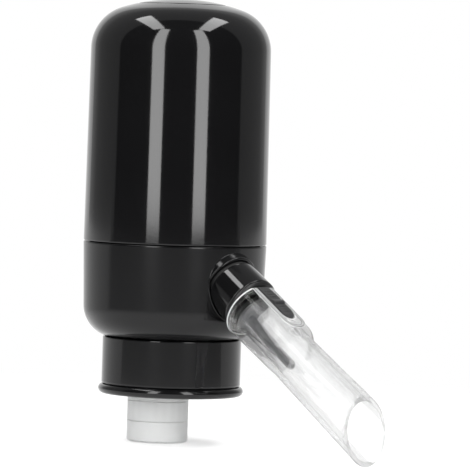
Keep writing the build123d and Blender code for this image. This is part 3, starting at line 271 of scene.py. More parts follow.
def mixColours(tree, share, first, second, blend="MIX"):
    given = {"Factor": share, "A": first, "B": second}
    return addNode(tree, "Mix", given, "Result", data_type="RGBA", blend_type=blend)


def mixShaders(tree, share, first, second):
    return addNode(tree, "MixShader", {"Fac": share, 1: first, 2: second}, "Shader")


def setSurface(tree, surface):
    feed(tree, tree.nodes["Material Output"], {"Surface": surface})


def grey(level):
    return level, level, level, 1


def newMaterial(name):
    material = bpy.data.materials.new(name)
    material.use_nodes = True
    return material, material.node_tree, material.node_tree.nodes["Principled BSDF"]


wornEdges = {"from": 0.52, "to": 0.62}  # pointiness
solid = dict(ior=1.5, metallic=0.0, specular=0.5)


def surfaceDetail(tree, shader, look):
    # fine unevenness, a roughness that varies, and edges that are a little worn
    place = addNode(tree, "TexCoord", {}, "Object")
    grain = addNode(tree, "TexNoise", {"Vector": place, "Scale": look["grain"], "Detail": 4}, "Fac")
    cloud = addNode(tree, "TexNoise", {"Vector": place, "Scale": look["cloud"], "Detail": 3}, "Fac")
    wear = addNode(tree, "NewGeometry", {}, "Pointiness")
    edge = mapped(tree, wear, wornEdges["from"], wornEdges["to"], high=look["wear"])
    blend = mixColours(tree, edge, (*look["colour"], 1), (*look["worn"], 1))
    tint = mixColours(tree, look["mottle"], blend, cloud, "MULTIPLY")
    rough, spread = look["rough"], look["roughSpread"]
    feed(tree, shader, {
        "Roughness": mapped(tree, cloud, 0, 1, rough - spread, rough + spread),
        "Normal": bumps(tree, grain, look), "Base Color": tint,
    })
    return tint


def surfaceMaterial(name, family, **changes):
    look = {**solid, **family, **changes}
    material, tree, shader = newMaterial(name)
    surfaceDetail(tree, shader, look)
    feed(tree, shader, {
        "IOR": look["ior"], "Metallic": look["metallic"], "Specular IOR Level": look["specular"],
    })
    return material


def clearMaterial(name, **changes):
    # polished clear plastic with faint flow marks; what shows straight through it gets painted shade, darker
    # where it's seen edge on
    look = {**clear, **changes}
    material, tree, shader = newMaterial(name)
    place = addNode(tree, "TexCoord", {}, "Object")
    flow = addNode(tree, "TexNoise", {"Vector": place, "Scale": look["flow"], "Detail": 2}, "Fac")
    feed(tree, shader, {
        "Base Color": (*look["colour"], 1), "Transmission Weight": look["transmission"], "IOR": look["ior"],
        "Roughness": mapped(tree, flow, 0, 1, look["rough"], look["rough"] * 2),
        "Normal": bumps(tree, flow, look),
    })
    # painted shade: the straight-through tint falls from the face tone to the dark edge tone as the surface
    # turns edge on
    facing = addNode(tree, "LayerWeight", {"Blend": 0.5}, "Facing")
    outline = mapped(tree, facing, look["edgeFrom"], 1, soft=True)
    tone = mixColours(tree, outline, grey(look["faceTone"]), (*look["paintedEdgeShade"], 1))
    through = addNode(tree, "BsdfTransparent", {"Color": tone}, "BSDF")
    setSurface(tree, mixShaders(tree, look["bending"], through, shader.outputs["BSDF"]))
    return material


gloss = dict(
    colour=(0.0065, 0.0065, 0.007), worn=(0.02, 0.02, 0.021), wear=0.4, mottle=0.2,
    rough=0.075, roughSpread=0.02, grain=900, cloud=60, bump=0.02, bumpDepth=0.00005,
)
satin = dict(
    colour=(0.028, 0.028, 0.029), worn=(0.09, 0.09, 0.09), wear=0.5, mottle=0.2,
    rough=0.48, roughSpread=0.06, grain=5200, cloud=300, bump=0.35, bumpDepth=0.00004,
)
moulded = dict(
    worn=(0.5, 0.5, 0.5), wear=0.15, mottle=0.2,
    rough=0.5, roughSpread=0.07, grain=4200, cloud=260, bump=0.25, bumpDepth=0.00005,
)
metal = dict(
    worn=(0.85, 0.85, 0.85), wear=0.5, mottle=0.25, metallic=1.0,
    rough=0.3, roughSpread=0.08, grain=2400, cloud=400, bump=0.12, bumpDepth=0.00004,
)
clear = dict(  # bending is the share of light that bends in the plastic; the rest goes straight through
    # faceTone tints what goes straight through; the dark edge tone is painted shade where the plastic is
    # seen edge on
    bending=1.0, bumpDepth=0.0001, edgeFrom=0.62, faceTone=0.985, paintedEdgeShade=(0.2, 0.2, 0.205),
)
coverGloss = surfaceMaterial("coverGloss", gloss)
buttonGloss = surfaceMaterial("buttonGloss", gloss, rough=0.1)
housingGloss = surfaceMaterial("housingGloss", gloss, rough=0.16, roughSpread=0.04, specular=0.3)
collarGloss = surfaceMaterial("collarGloss", gloss, rough=0.1, specular=0.33)
beadGloss = surfaceMaterial("beadGloss", gloss, rough=0.12, specular=0.38)
knuckleGloss = surfaceMaterial("knuckleGloss", gloss, rough=0.08)
latchSatin = surfaceMaterial("latchSatin", satin, colour=(0.008, 0.008, 0.0085), rough=0.38)
tabSatin = surfaceMaterial("tabSatin", satin, colour=(0.03, 0.03, 0.031))
softBlack = surfaceMaterial(
    "softBlack", satin, colour=(0.004, 0.004, 0.004), worn=(0.01, 0.01, 0.01), rough=0.6, grain=2600,
)
smokePlastic = surfaceMaterial(
    "smokePlastic", satin, colour=(0.17, 0.17, 0.175), worn=(0.4, 0.4, 0.41), rough=0.22, bump=0.1,
    mottle=0.5,
)
# grey flange whose stepped edges are painted much lighter, as painted highlight arcs
flangeGreyPaintedHighlights = surfaceMaterial(
    "flangeGreyPaintedHighlights", satin, colour=(0.2, 0.2, 0.205), worn=(0.8, 0.8, 0.8), wear=0.9, rough=0.12, bump=0.1,
)
# light grey for the painted highlights along the nozzle's lip and rear edge
paintedHighlight = surfaceMaterial(
    "paintedHighlight", moulded, colour=(0.86, 0.87, 0.87), worn=(0.95, 0.95, 0.95), rough=0.25, bump=0.08,
    mottle=0.05,
)
clearPlastic = clearMaterial(
    "clearPlastic", colour=(0.985, 0.99, 0.99), transmission=1.0, ior=1.3, flow=70, rough=0.01, bump=0.015,
    bending=0.5,
)
print("materials made")

frosted = dict(
    colour=(0.93, 0.94, 0.935), worn=(0.96, 0.965, 0.96), wear=0.5, mottle=0.06,
    rough=0.42, roughSpread=0.07, grain=2600, cloud=220, bump=0.15, bumpDepth=0.00006,
    ribs=22, ribsFrom=-0.0095, ribsTo=-0.0075, ribDark=0.985, ribLight=1.01,
    ior=1.41, softLight=0.35, softReach=0.004,
)


def frostedMaterial():
    # translucent silicone: ribs of the stem inside show through as soft upright bands
    look = frosted
    material, tree, shader = newMaterial("frostedSilicone")
    tint = surfaceDetail(tree, shader, look)
    parts = addNode(tree, "SeparateXYZ", {"Vector": addNode(tree, "TexCoord", {}, "Object")}).outputs
    angle = mathNode(tree, "ARCTAN2", parts["X"], parts["Y"])
    ribs = mathNode(tree, "SINE", mathNode(tree, "MULTIPLY", angle, look["ribs"]))
    band = mapped(tree, parts["Z"], look["ribsFrom"], look["ribsTo"], soft=True)
    shade = mapped(tree, mathNode(tree, "MULTIPLY", ribs, band), -1, 1, look["ribDark"], look["ribLight"])
    feed(tree, shader, {
        "Base Color": mixColours(tree, 1, tint, shade, "MULTIPLY"),
        "IOR": look["ior"], "Subsurface Weight": look["softLight"],
        "Subsurface Radius": (look["softReach"], look["softReach"], look["softReach"]),
        "Subsurface Scale": 1.0,
    })
    return material


# Upper cover: thin shell with a domed crown, rounded at the button's opening
buttonRadius = 0.0145
coverSizes = dict(
    topRadius=0.030, shoulderRise=0.0643, shoulderRound=0.0145, crownRound=0.064,
    wall=0.002, opening=0.0149, guideWall=0.0016, guideDepth=0.004, edge=0.0003,
)
shoulder = seam + coverSizes["shoulderRise"]
shoulderCentre = coverSizes["topRadius"] - coverSizes["shoulderRound"]
crownCentre = crownTop - coverSizes["crownRound"]
crownTurn = degrees(acos(shoulderCentre / (coverSizes["crownRound"] - coverSizes["shoulderRound"])))


def crownHeight(radius, inset=0.0):
    return crownCentre + sqrt((coverSizes["crownRound"] - inset) ** 2 - radius**2)


def crownArc(fromRadius, toRadius, inset, count):
    # between its two ends, which the outlines give themselves
    radius = coverSizes["crownRound"] - inset
    start = degrees(acos(fromRadius / radius))
    stop = degrees(acos(toRadius / radius))
    return arcPoints(0, crownCentre, radius, start, stop, count)[1:-1]


def coverLine():
    s = coverSizes
    guideLow = crownHeight(buttonRadius) - s["guideDepth"]
    guideOut = s["opening"] + s["guideWall"]
    outerTurn = s["crownRound"] * cos(radians(crownTurn))
    innerTurn = (s["crownRound"] - s["wall"]) * cos(radians(crownTurn))
    return rounded([
        (bodyRadius - s["wall"], coverLow.z),
        (bodyRadius, coverLow.z),
        *arcPoints(shoulderCentre, shoulder, s["shoulderRound"], 0, crownTurn, 28),
        *crownArc(outerTurn, s["opening"], 0, 8),
        (s["opening"], crownHeight(s["opening"])),
        (s["opening"], guideLow),
        (guideOut, guideLow),
        (guideOut, crownHeight(guideOut, s["wall"])),
        *crownArc(guideOut, innerTurn, s["wall"], 6),
        *arcPoints(shoulderCentre, shoulder, s["shoulderRound"] - s["wall"], crownTurn, 0, 16),
    ], s["edge"])


addPiece("coverShell", turned(coverLine(), 192), bodyFrame, coverGloss, "cover",
         ["upper_cover"])

# Power button: a dome that goes on with the crown, with a skirt, a flange and its plunger
buttonSizes = dict(
    wall=0.0018, flangeRadius=0.0162, flangeHeight=0.0012, flangeGap=0.00008,
    plunger=0.0022, edge=0.00035, skirtRound=0.0005,
)


def buttonLine():
    s = buttonSizes
    skirt = buttonRadius - s["wall"]
    flangeLow = crownHeight(buttonRadius) - coverSizes["guideDepth"] - s["flangeGap"] - s["flangeHeight"]
    return rounded([
        (0, crownTop, 0),
        *crownArc(0, buttonRadius, 0, 10),
        (buttonRadius, crownHeight(buttonRadius), s["edge"]),
        (buttonRadius, flangeLow + s["flangeHeight"], fineEdge),
        (s["flangeRadius"], flangeLow + s["flangeHeight"], fineEdge),
        (s["flangeRadius"], flangeLow, fineEdge),
        (skirt, flangeLow, fineEdge),
        (skirt, crownHeight(skirt, s["wall"]), s["skirtRound"]),
        (s["plunger"], crownHeight(s["plunger"], s["wall"]), roundEdge),
        (s["plunger"], buttonLow.z, softEdge),
        (0, buttonLow.z, 0),
    ])


addPiece("buttonCap", turned(buttonLine(), 160), bodyFrame, buttonGloss, "button",
         ["power_button"])

# Lower housing: a tapered cup with a rounded foot and a stepped lip, then the round boss for the spout
housingSizes = dict(
    footRadius=0.0299, footRound=0.011, wall=0.002, floorHole=0.0158, edge=0.0003,
    lipRadius=0.0282, lipWall=0.002, lipHeight=0.0044,
    grooveLow=0.0018, grooveHigh=0.003, grooveDepth=0.001,
    bossRadius=0.010, bossBack=-0.0114, bossFront=-0.0034, bossEdge=0.0005, bossBore=0.0045,
    socket=0.0097, socketBack=-0.012, socketFront=0.02, rimWire=0.00022, rimSink=0.6,
)


def housingLine():
    s = housingSizes
    foot = housingLow.z
    turnR = s["footRadius"] - s["footRound"]
    turnH = foot + s["footRound"]
    lip, lipInside = s["lipRadius"], s["lipRadius"] - s["lipWall"]
    groove = lip - s["grooveDepth"]
    return rounded([
        (s["floorHole"], foot, roundEdge),
        *arcPoints(turnR, turnH, s["footRound"], -90, 0, 20),
        (bodyRadius, seam, s["edge"]),
        (lip, seam, fineEdge),
        (lip, seam + s["grooveLow"]),
        (groove, seam + s["grooveLow"]),
        (groove, seam + s["grooveHigh"]),
        (lip, seam + s["grooveHigh"]),
        (lip, seam + s["lipHeight"], softEdge),
        (lipInside, seam + s["lipHeight"], softEdge),
        (lipInside, seam - s["lipWall"], softEdge),
        (bodyRadius - s["wall"], seam - s["lipWall"], softEdge),
        *arcPoints(turnR, turnH, s["footRound"] - s["wall"], 0, -90, 12),
        (s["floorHole"], foot + s["wall"], roundEdge),
    ])


def housingRadiusAt(height):
    # the outside radius of the housing at a height
    s = housingSizes
    turnH = housingLow.z + s["footRound"]
    if height >= turnH:
        return s["footRadius"] + (bodyRadius - s["footRadius"]) * (height - turnH) / (seam - turnH)
    drop = min(turnH - height, s["footRound"])
    return s["footRadius"] - s["footRound"] + sqrt(s["footRound"] ** 2 - drop**2)


def socketShape():
    s = housingSizes
    ends = s["socketBack"], s["socketFront"]
    line = [(0, ends[0]), (s["socket"], ends[0]), (s["socket"], ends[1]), (0, ends[1])]
    return turned(line, 128, lift=knuckleLift)


def bandLine(inner, outer, low, high, innerEdge, lowEdge, highEdge):
    # a square section, with one edge for both inner corners
    return rounded([(inner, low), (outer, low, lowEdge), (outer, high, highEdge), (inner, high)], innerEdge)


def bossLine():
    s = housingSizes
    return bandLine(s["bossBore"], s["bossRadius"], s["bossBack"], s["bossFront"],
                    fineEdge, fineEdge, s["bossEdge"])


def wireShape(path, wire, aboveAt, closed=False):
    # a thin round bead along a path; aboveAt gives the way that its first corner faces at a point
    verts, count, sides = [], len(path), 8
    for n, centre in enumerate(path):
        before, after = (n - 1, (n + 1) % count) if closed else (max(n - 1, 0), min(n + 1, count - 1))
        ahead = (path[after] - path[before]).normalized()
        side = ahead.cross(aboveAt(centre)).normalized()
        up = side.cross(ahead)
        for turn in turns(sides):
            verts.append(centre + (up * cos(turn) + side * sin(turn)) * wire)
    faces = gridFaces(count, sides, closed)
    return (verts, faces) if closed else withEnds(verts, faces, sides)


def socketRim():
    # a fine rounded edge where the spout's socket opens through the housing's side
    s, steps, tries, stride = housingSizes, 180, 40, 0.9
    centres = []
    for turn in turns(steps):
        x, up = polar(s["socket"] + s["rimWire"] * s["rimSink"], turn, knuckleLift)
        along = 0.0
        for _ in range(tries):
            place = spoutFrame @ Vector((x, up, along))
            along += (housingRadiusAt(place.z) - hypot(place.x, place.y - bodyY)) * stride
        centres.append(Vector((x, up, along)))

    def outward(centre):
        return Vector((centre.x, centre.y - knuckleLift, 0)).normalized()

    return wireShape(centres, s["rimWire"], outward, True)


housingShell = addPiece("housingShell", turned(housingLine(), 192), bodyFrame, housingGloss, "housing",
                        ["lower_housing"])
cutWith(housingShell, "socketCut", socketShape())
housingShell.data.set_sharp_from_angle(angle=radians(sharpTurn))
addPiece("housingBoss", turned(bossLine(), 144, lift=knuckleLift), spoutFrame, housingGloss, "housing",
         ["lower_housing"])
addPiece("socketRim", socketRim(), spoutFrame, housingGloss, "housing", ())

# Neck collar with a thin rim up to the housing's rounded foot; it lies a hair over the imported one
collarSizes = dict(
    wall=0.0018, edge=0.0003, hole=0.0158, rimRise=0.0004, rimWall=0.0007, over=0.00004,
    footRise=0.0035, innerRound=0.0005,
)


def collarLine():
    s = collarSizes
    radius = (collarHigh.x - collarLow.x) / 2 + s["over"]
    high, foot = collarHigh.z, ringLow.z + s["footRise"]
    return rounded([
        (radius - s["wall"], foot, s["edge"]),
        (radius, foot, s["edge"]),
        (radius, high + s["rimRise"], fineEdge),
        (radius - s["rimWall"], high + s["rimRise"]),
        (radius - s["rimWall"], high),
        (s["hole"], high, fineEdge),
        (s["hole"], high - s["wall"], fineEdge),
        (radius - s["wall"], high - s["wall"], s["innerRound"]),
    ])


addPiece("collarShell", turned(collarLine(), 160), bodyFrame, collarGloss, "housing", ())

# Half-round bead under the collar
beadSizes = dict(height=0.0032, inner=0.02028, upstand=0.02128, upstandTop=0.0055)


def beadLine():
    s = beadSizes
    radius = (ringHigh.x - ringLow.x) / 2
    half = s["height"] / 2
    return rounded([
        (s["inner"], 0, softEdge),
        *arcPoints(radius - half, half, half, -90, 90, 16),
        (s["upstand"], s["height"], fineEdge),
        (s["upstand"], s["upstandTop"], fineEdge),
        (s["inner"], s["upstandTop"], fineEdge),
    ])


addPiece("baseBead", turned(beadLine(), 160), bodyFrame, beadGloss, "housing", ["base_ring"])

# Bottle plug: a frosted sleeve with two fine grooves
plugSizes = dict(
    radius=0.01025, stem=0.0079, flange=0.01265, seat=0.0024, flangeTop=0.004,
    grooves=(0.0023, 0.009), groove=0.00014, grooveLip=0.00025, grooveFloor=0.00015,
    round=0.001, length=0.01614,
)


def plugLine():
    s = plugSizes
    corners = [
        (s["stem"], s["flangeTop"]), (s["flange"], s["flangeTop"]),
        (s["flange"], s["seat"]), (s["radius"], s["seat"]),
    ]
    for drop in s["grooves"]:
        corners += [
            (s["radius"], -drop, s["grooveLip"]),
            (s["radius"] - s["groove"], -drop - s["groove"], s["grooveFloor"]),
            (s["radius"], -drop - s["groove"] * 2, s["grooveLip"]),
        ]
    corners += arcPoints(s["radius"] - s["round"], s["round"] - s["length"], s["round"], 0, -90, 10)
    return rounded([*corners, (s["stem"], -s["length"], softEdge)])


addPiece("plugSleeve", turned(plugLine(), 144), plugFrame, frostedMaterial(), "housing",
         ["bottle_plug"])
print("body made")

# Spout knuckle, its gasket and its spigot
knuckleSizes = dict(
    back=-0.002, front=0.0086, rootRadius=0.0094, tipRadius=0.0095, edge=0.0004,
    gasketBack=-0.0034, gasketRadius=0.0089, gasketGap=0.00002, spigot=0.0061,
    spigotFront=0.0128, spigotRoot=0.001, sealFront=0.0124, seal=0.0005, sealDepth=0.0008,
    tail=0.0042, tailBack=-0.0115,
)


def knuckleLine():
    s = knuckleSizes
    return rounded([
        (0, s["tailBack"], 0), (s["tail"], s["tailBack"], softEdge), (s["tail"], s["back"], fineEdge),
        (s["rootRadius"], s["back"], s["edge"]), (s["tipRadius"], s["front"], s["edge"]),
        (0, s["front"], 0),
    ])


def knuckleWay(x, y, h):
    # the tail inside the housing sits a little higher than the knuckle
    return x, y + (tailLift if h < knuckleSizes["back"] - hairEdge else knuckleLift), h


def spigotLine():
    s = knuckleSizes
    root, sealBack = s["front"] - s["spigotRoot"], s["sealFront"] - s["seal"] * 2
    floor = s["spigot"] - s["sealDepth"]
    return rounded([
        (0, root, 0), (s["spigot"], root),
        (s["spigot"], sealBack), (floor, sealBack),
        (floor, s["sealFront"]), (s["spigot"], s["sealFront"]),
        (s["spigot"], s["spigotFront"], roundEdge), (0, s["spigotFront"], 0),
    ])


def gasketLine():
    s = knuckleSizes
    return bandLine(s["tail"] + s["gasketGap"], s["gasketRadius"], s["gasketBack"], s["back"],
                    hairEdge, softEdge, softEdge)


addPiece("knuckleBody", turned(knuckleLine(), 144, way=knuckleWay), spoutFrame,
         knuckleGloss, "housing", ["spout_knuckle"])
addPiece("knuckleSpigot", turned(spigotLine(), 96), spoutFrame, knuckleGloss, "housing",
         ["spout_knuckle"])
addPiece("gasketBand", turned(gasketLine(), 128, lift=knuckleLift), spoutFrame, softBlack, "housing",
         ["socket_gasket"])

# Latch ring: outside it leads from the knuckle to the nozzle's rim, inside it fits round the spigot
latchSizes = dict(
    back=0.00875, front=0.0098, radius=0.0096, hole=0.0066, frontLift=0.0008, edge=0.00025,
)


def latchLine():
    s = latchSizes
    return bandLine(s["hole"], s["radius"], s["back"], s["front"], fineEdge, s["edge"], s["edge"])


def share(place, start, stop):
    # how far place is from start to stop, from 0 to 1
    return min(1.0, max(0.0, (place - start) / (stop - start)))


def latchWay(x, y, h):
    s = latchSizes
    outward = share(hypot(x, y), s["hole"], s["radius"])
    lift = knuckleLift + (s["frontLift"] - knuckleLift) * share(h, s["back"], s["front"])
    return x, y + lift * outward, h


addPiece("latchBand", turned(latchLine(), 144, way=latchWay), spoutFrame, latchSatin, "nozzle",
         ["latch_ring"])

# Clear nozzle: rings from its root to a slanted mouth, then the raised lip and the tab's window
nozzleSizes = dict(
    back=0.0104, shroudEnd=0.03135, fade=0.0045, mouth=0.0755, lean=5,
    rimRadius=0.0098, rimLift=0.0005, tipRadius=0.0093, tipLift=0.0006,
    rootRadius=0.0082, mouthRadius=0.0091, bore=0.0064, mouthBore=0.0077, tubeLift=-0.0003,
    slantFrom=0.048, windowHalf=0.0026, windowEnd=0.0277, windowFloor=0.0075,
    windowFlare=0.0004, lipHalf=0.0045, lipEnd=0.0325, lipTop=0.00945, lipSink=0.0003, edge=0.0003,
    landInset=0.0001, landDrop=0.00005, noseBack=0.0119, noseEnd=0.0141, noseHalf=0.0017,
    noseOver=0.0005, cutBack=0.002, cutOver=0.003, sharp=32,
)


def smooth(part):
    return part * part * (3 - 2 * part)


def nozzleOuter(along):
    # radius and lift of the outside at a distance along the spout
    s = nozzleSizes
    tube = s["rootRadius"] + (s["mouthRadius"] - s["rootRadius"]) * share(along, s["shroudEnd"], s["mouth"])
    if along <= s["shroudEnd"]:
        ahead = (along - s["back"]) / (s["shroudEnd"] - s["back"])
        return (s["rimRadius"] + (s["tipRadius"] - s["rimRadius"]) * ahead,
                s["rimLift"] + (s["tipLift"] - s["rimLift"]) * ahead)
    fade = smooth(share(along, s["shroudEnd"], s["shroudEnd"] + s["fade"]))
    radius = s["tipRadius"] + (tube - s["tipRadius"]) * fade
    return radius, s["tipLift"] + (s["tubeLift"] - s["tipLift"]) * fade


def nozzleStations():
    # (radius, along, lift) of each ring, from the rear edge out to the mouth and back inside
    s = nozzleSizes
    edge, rear, front = s["edge"], s["back"] + s["edge"], s["mouth"] - s["edge"]
    rimRadius, rimLift = nozzleOuter(s["back"])
    stations = []

    def roundOver(lift, *arc):
        stations.extend((radius, along, lift) for radius, along, _ in arcPoints(*arc))

    roundOver(rimLift, rimRadius - edge, rear, edge, -90, 0, 4)
    for start, stop, runs in ((rear, s["slantFrom"], 40), (s["slantFrom"], front, 12)):
        for n in range(1, runs + 1):
            along = start + (stop - start) * n / runs
            radius, lift = nozzleOuter(along)
            stations.append((radius, along, lift))
    roundOver(s["tubeLift"], s["mouthRadius"] - edge, front, edge, 30, 90, 2)
    roundOver(s["tubeLift"], s["mouthBore"] + edge, front, edge, 90, 180, 3)
    for n in range(1, 13):
        along = front - (front - s["shroudEnd"]) * n / 12
        ahead = share(along, s["shroudEnd"], s["mouth"])
        stations.append((s["bore"] + (s["mouthBore"] - s["bore"]) * ahead, along, s["tubeLift"] * ahead))
    stations.append((s["bore"], rear + edge, 0))
    roundOver(0, s["bore"] + edge, rear, edge, 180, 270, 2)
    return stations


def nozzleShape():
    s = nozzleSizes
    steps, stations, verts = 144, nozzleStations(), []
    mouthTan = tan(slope + radians(s["lean"]))
    for radius, along, lift in stations:
        lean = smooth(share(along, s["slantFrom"], s["mouth"]))
        for turn in turns(steps):
            x, y = polar(radius, turn, lift)
            verts.append((x, y, along - y * mouthTan * lean))
    return verts, gridFaces(len(stations), steps)


def stripShape(back, end, half, low, top, flare=0.0):
    # a round-ended upright prism along the spout; flare widens its top edge over the same height
    turnAt, count, verts = end - half, 20, []
    plan = [(-half, back), (half, back)]
    plan += [polar(half, pi * n / count, turnAt) for n in range(count + 1)]
    for grow, height in ((0.0, low), (0.0, top - abs(flare)), (flare, top)):
        for x, along in plan:
            past = max(0.0, along - turnAt)
            length = hypot(x, past)
            scale = (length + grow) / length
            verts.append((x * scale, height, min(along, turnAt) + past * scale))
    return withEnds(verts, gridFaces(3, len(plan), False), len(plan))


def clearNozzle():
    s = nozzleSizes
    nozzle = addPiece("clearNozzle", nozzleShape(), spoutFrame, clearPlastic, "nozzle",
                      ["clear_nozzle"])
    cutFrom = s["back"] - s["cutBack"]
    cutWith(nozzle, "lipTool", stripShape(
        s["back"] + s["landInset"], s["lipEnd"], s["lipHalf"], s["windowFloor"] - s["lipSink"], s["lipTop"],
        -fineEdge), "UNION")
    cutWith(nozzle, "landTool", stripShape(
        cutFrom, s["lipEnd"] - s["landInset"], s["lipHalf"] - s["landInset"], s["lipTop"] - s["landDrop"],
        s["lipTop"] + s["cutOver"]))
    cutWith(nozzle, "windowTool", stripShape(
        cutFrom, s["windowEnd"], s["windowHalf"], s["windowFloor"], s["lipTop"] + s["lipSink"],
        s["windowFlare"]))
    cutWith(nozzle, "noseTool", stripShape(
        s["noseBack"], s["noseEnd"], s["noseHalf"], 0.0, s["windowFloor"] + s["noseOver"]))
    nozzle.data.set_sharp_from_angle(angle=radians(s["sharp"]))


clearNozzle()

# Painted highlights as light beads and painted shade as fine dark lines on the nozzle's lip, and a painted
# highlight bead round its rear edge
lipSizes = dict(
    # groove and grooves size the dark wires of painted shade on the lip
    wire=0.00013, inner=0.00018, outer=0.0002, outerDrop=0.0001, middle=0.00105,
    rim=0.00026, rimGap=54, rimSink=0.6, rimBack=0.5, groove=0.00011, grooves=(0.00062, 0.00142),
)


def lipWire(half, end, inset, drop, wire):
    # along one side of the lip, round its end and back along the other
    half, back, count = half - inset, nozzleSizes["back"], 12
    turnAt = end - inset - half
    run = turnAt - back
    plan = [(-half, back + run * n / count, 0) for n in range(count)]
    plan += arcPoints(0, turnAt, half, 180, 0, count * 2)
    plan += [(half, turnAt - run * n / count, 0) for n in range(1, count + 1)]
    path = [Vector((x, nozzleSizes["lipTop"] - drop, along)) for x, along, _ in plan]
    return wireShape(path, wire, lambda centre: Vector((0, 1, 0)))


def rimHighlight():
    # a painted highlight bead round the nozzle's rear edge, from one side of the lip to the other
    s, b = nozzleSizes, lipSizes
    radius, count = s["rimRadius"] - b["rim"] * b["rimSink"], 96
    along = s["back"] - b["rim"] * b["rimBack"]
    angles = [radians(90 + b["rimGap"] / 2 + (360 - b["rimGap"]) * n / count) for n in range(count + 1)]
    path = [Vector((*polar(radius, turn, s["rimLift"]), along)) for turn in angles]
    return wireShape(path, b["rim"], lambda centre: Vector((0, 0, 1)))


def lipHighlightShape():
    s, b = nozzleSizes, lipSizes
    return joined(
        rimHighlight(),
        lipWire(s["windowHalf"], s["windowEnd"], -b["inner"], 0.0, b["wire"]),
        lipWire(s["lipHalf"], s["lipEnd"], b["middle"], 0.0, b["wire"]),
        lipWire(s["lipHalf"], s["lipEnd"], b["outer"], b["outerDrop"], b["wire"]),
    )


# dark wires of painted shade along the lip, between its painted highlights
def lipShadeLineShape():
    s, b = nozzleSizes, lipSizes
    return joined(*[lipWire(s["lipHalf"], s["lipEnd"], inset, 0.0, b["groove"]) for inset in b["grooves"]])


# the light beads are painted highlights
addPiece("lipHighlights", lipHighlightShape(), spoutFrame, paintedHighlight, "nozzle", ["clear_nozzle"])
# the dark wires are painted shade lines
addPiece("lipShadeLines", lipShadeLineShape(), spoutFrame, latchSatin, "nozzle", ["clear_nozzle"])
print("nozzle made")

# Release tab: a finger plate with a ridge, soft edges and low ribs, and the latch nose under its back end
tabSizes = dict(
    back=0.0102, end=0.0271, half=0.0023, floor=0.0087, edge=0.0003,
    tops=((0.0102, 0.0099), (0.0176, 0.0101), (0.0186, 0.0105), (0.0192, 0.0107), (0.0197, 0.0106),
             (0.0201, 0.0100), (0.0235, 0.0101), (0.0255, 0.0099), (0.0271, 0.0094)),
    ribRise=0.0002, ribHalf=0.00026, ribs=(0.0127, 0.0142, 0.0157, 0.0212, 0.0225, 0.0238),
    ribBow=0.0005, ribReach=0.68, sharp=35,
)
noseSizes = dict(low=0.00648, high=0.0088, back=0.0123, front=0.0135, half=0.0014, edge=0.0003)


def tabTop(along):
    tops = tabSizes["tops"]
    for (start, low), (stop, high) in zip(tops, tops[1:]):
        if along <= stop:
            return low + (high - low) * max(0.0, along - start) / (stop - start)
    return tops[-1][1]


def ribAt(x, along):
    s = tabSizes
    rise = 0.0
    for place in s["ribs"]:
        away = abs(along - place - s["ribBow"] * (1 - (x / s["half"]) ** 2)) / s["ribHalf"]
        if away < 1 and abs(x) < s["half"] * s["ribReach"]:
            rise = s["ribRise"] * 0.5 * (1 + cos(pi * away))
    return rise


def tabShape():
    s = tabSizes
    runs, across, half, edge = 90, 28, s["half"], s["edge"]
    tipStart = s["end"] - half
    verts, faces = [], []
    for n in range(runs + 1):
        along = s["back"] + (s["end"] - s["back"]) * n / runs
        reach = half
        if along > tipStart:
            reach = sqrt(max(1e-9, half**2 - (along - tipStart) ** 2))
        for m in range(across + 1):
            x = -reach * cos(pi * m / across)
            inset = min(reach - abs(x), along - s["back"])
            if along > tipStart:
                inset = min(inset, half - hypot(x, along - tipStart))
            drop = 0.0
            if inset < edge:
                drop = edge - sqrt(max(0.0, edge**2 - (edge - max(0.0, inset)) ** 2))
            verts.append((x, tabTop(along) - drop + ribAt(x, along), along))
    under, wide = len(verts), across + 1  # the underside's corners follow the top's, row by row
    verts += [(x, s["floor"], along) for x, y, along in verts]
    for left in range(0, runs * wide, wide):
        for a in range(left, left + across):
            faces.append((a, a + 1, a + wide + 1, a + wide))
            faces.append((under + a, under + a + wide, under + a + wide + 1, under + a + 1))
        right = left + across
        faces.append((left, left + wide, under + left + wide, under + left))
        faces.append((right, under + right, under + right + wide, right + wide))
    for m in range(across):
        tip = runs * wide + m
        faces.append((m, under + m, under + m + 1, m + 1))
        faces.append((tip, tip + 1, under + tip + 1, under + tip))
    return verts, faces


def noseShape():
    s = noseSizes
    verts = []
    for y, pull in ((s["low"], s["edge"]), (s["low"] + s["edge"], 0.0), (s["high"], 0.0)):
        for side, along in ((-1, s["back"]), (1, s["back"]), (1, s["front"]), (-1, s["front"])):
            verts.append((side * (s["half"] - pull), y, along + (pull if along == s["back"] else -pull)))
    faces = [(0, 1, 2, 3), (8, 11, 10, 9)]
    for layer in (0, 4):
        for n in range(4):
            m = (n + 1) % 4
            faces.append((layer + n, layer + 4 + n, layer + 4 + m, layer + m))
    return verts, faces


addPiece("tabPlate", joined(tabShape(), noseShape()), spoutFrame, tabSatin, "tab",
         ["release_tab"], tabSizes["sharp"])

# Hinge pin across the lip, under the tab's top
hingeSizes = dict(along=0.0142, lift=0.0086, radius=0.00055, half=0.0037, edge=0.00012)
pinSteel = surfaceMaterial("pinSteel", metal, colour=(0.7, 0.7, 0.7), rough=0.18)


def hingeLine():
    s = hingeSizes
    return rounded([
        (0, -s["half"], 0), (s["radius"], -s["half"], s["edge"]), (s["radius"], s["half"], s["edge"]),
        (0, s["half"], 0),
    ])


hingePlace = spoutFrame @ Matrix.Translation((0, hingeSizes["lift"], hingeSizes["along"]))
hingePlace = hingePlace @ Matrix.Rotation(radians(90), 4, "Y")
addPiece("hingePin", turned(hingeLine(), 32), hingePlace, pinSteel, "nozzle",
         ["latch_pin"])

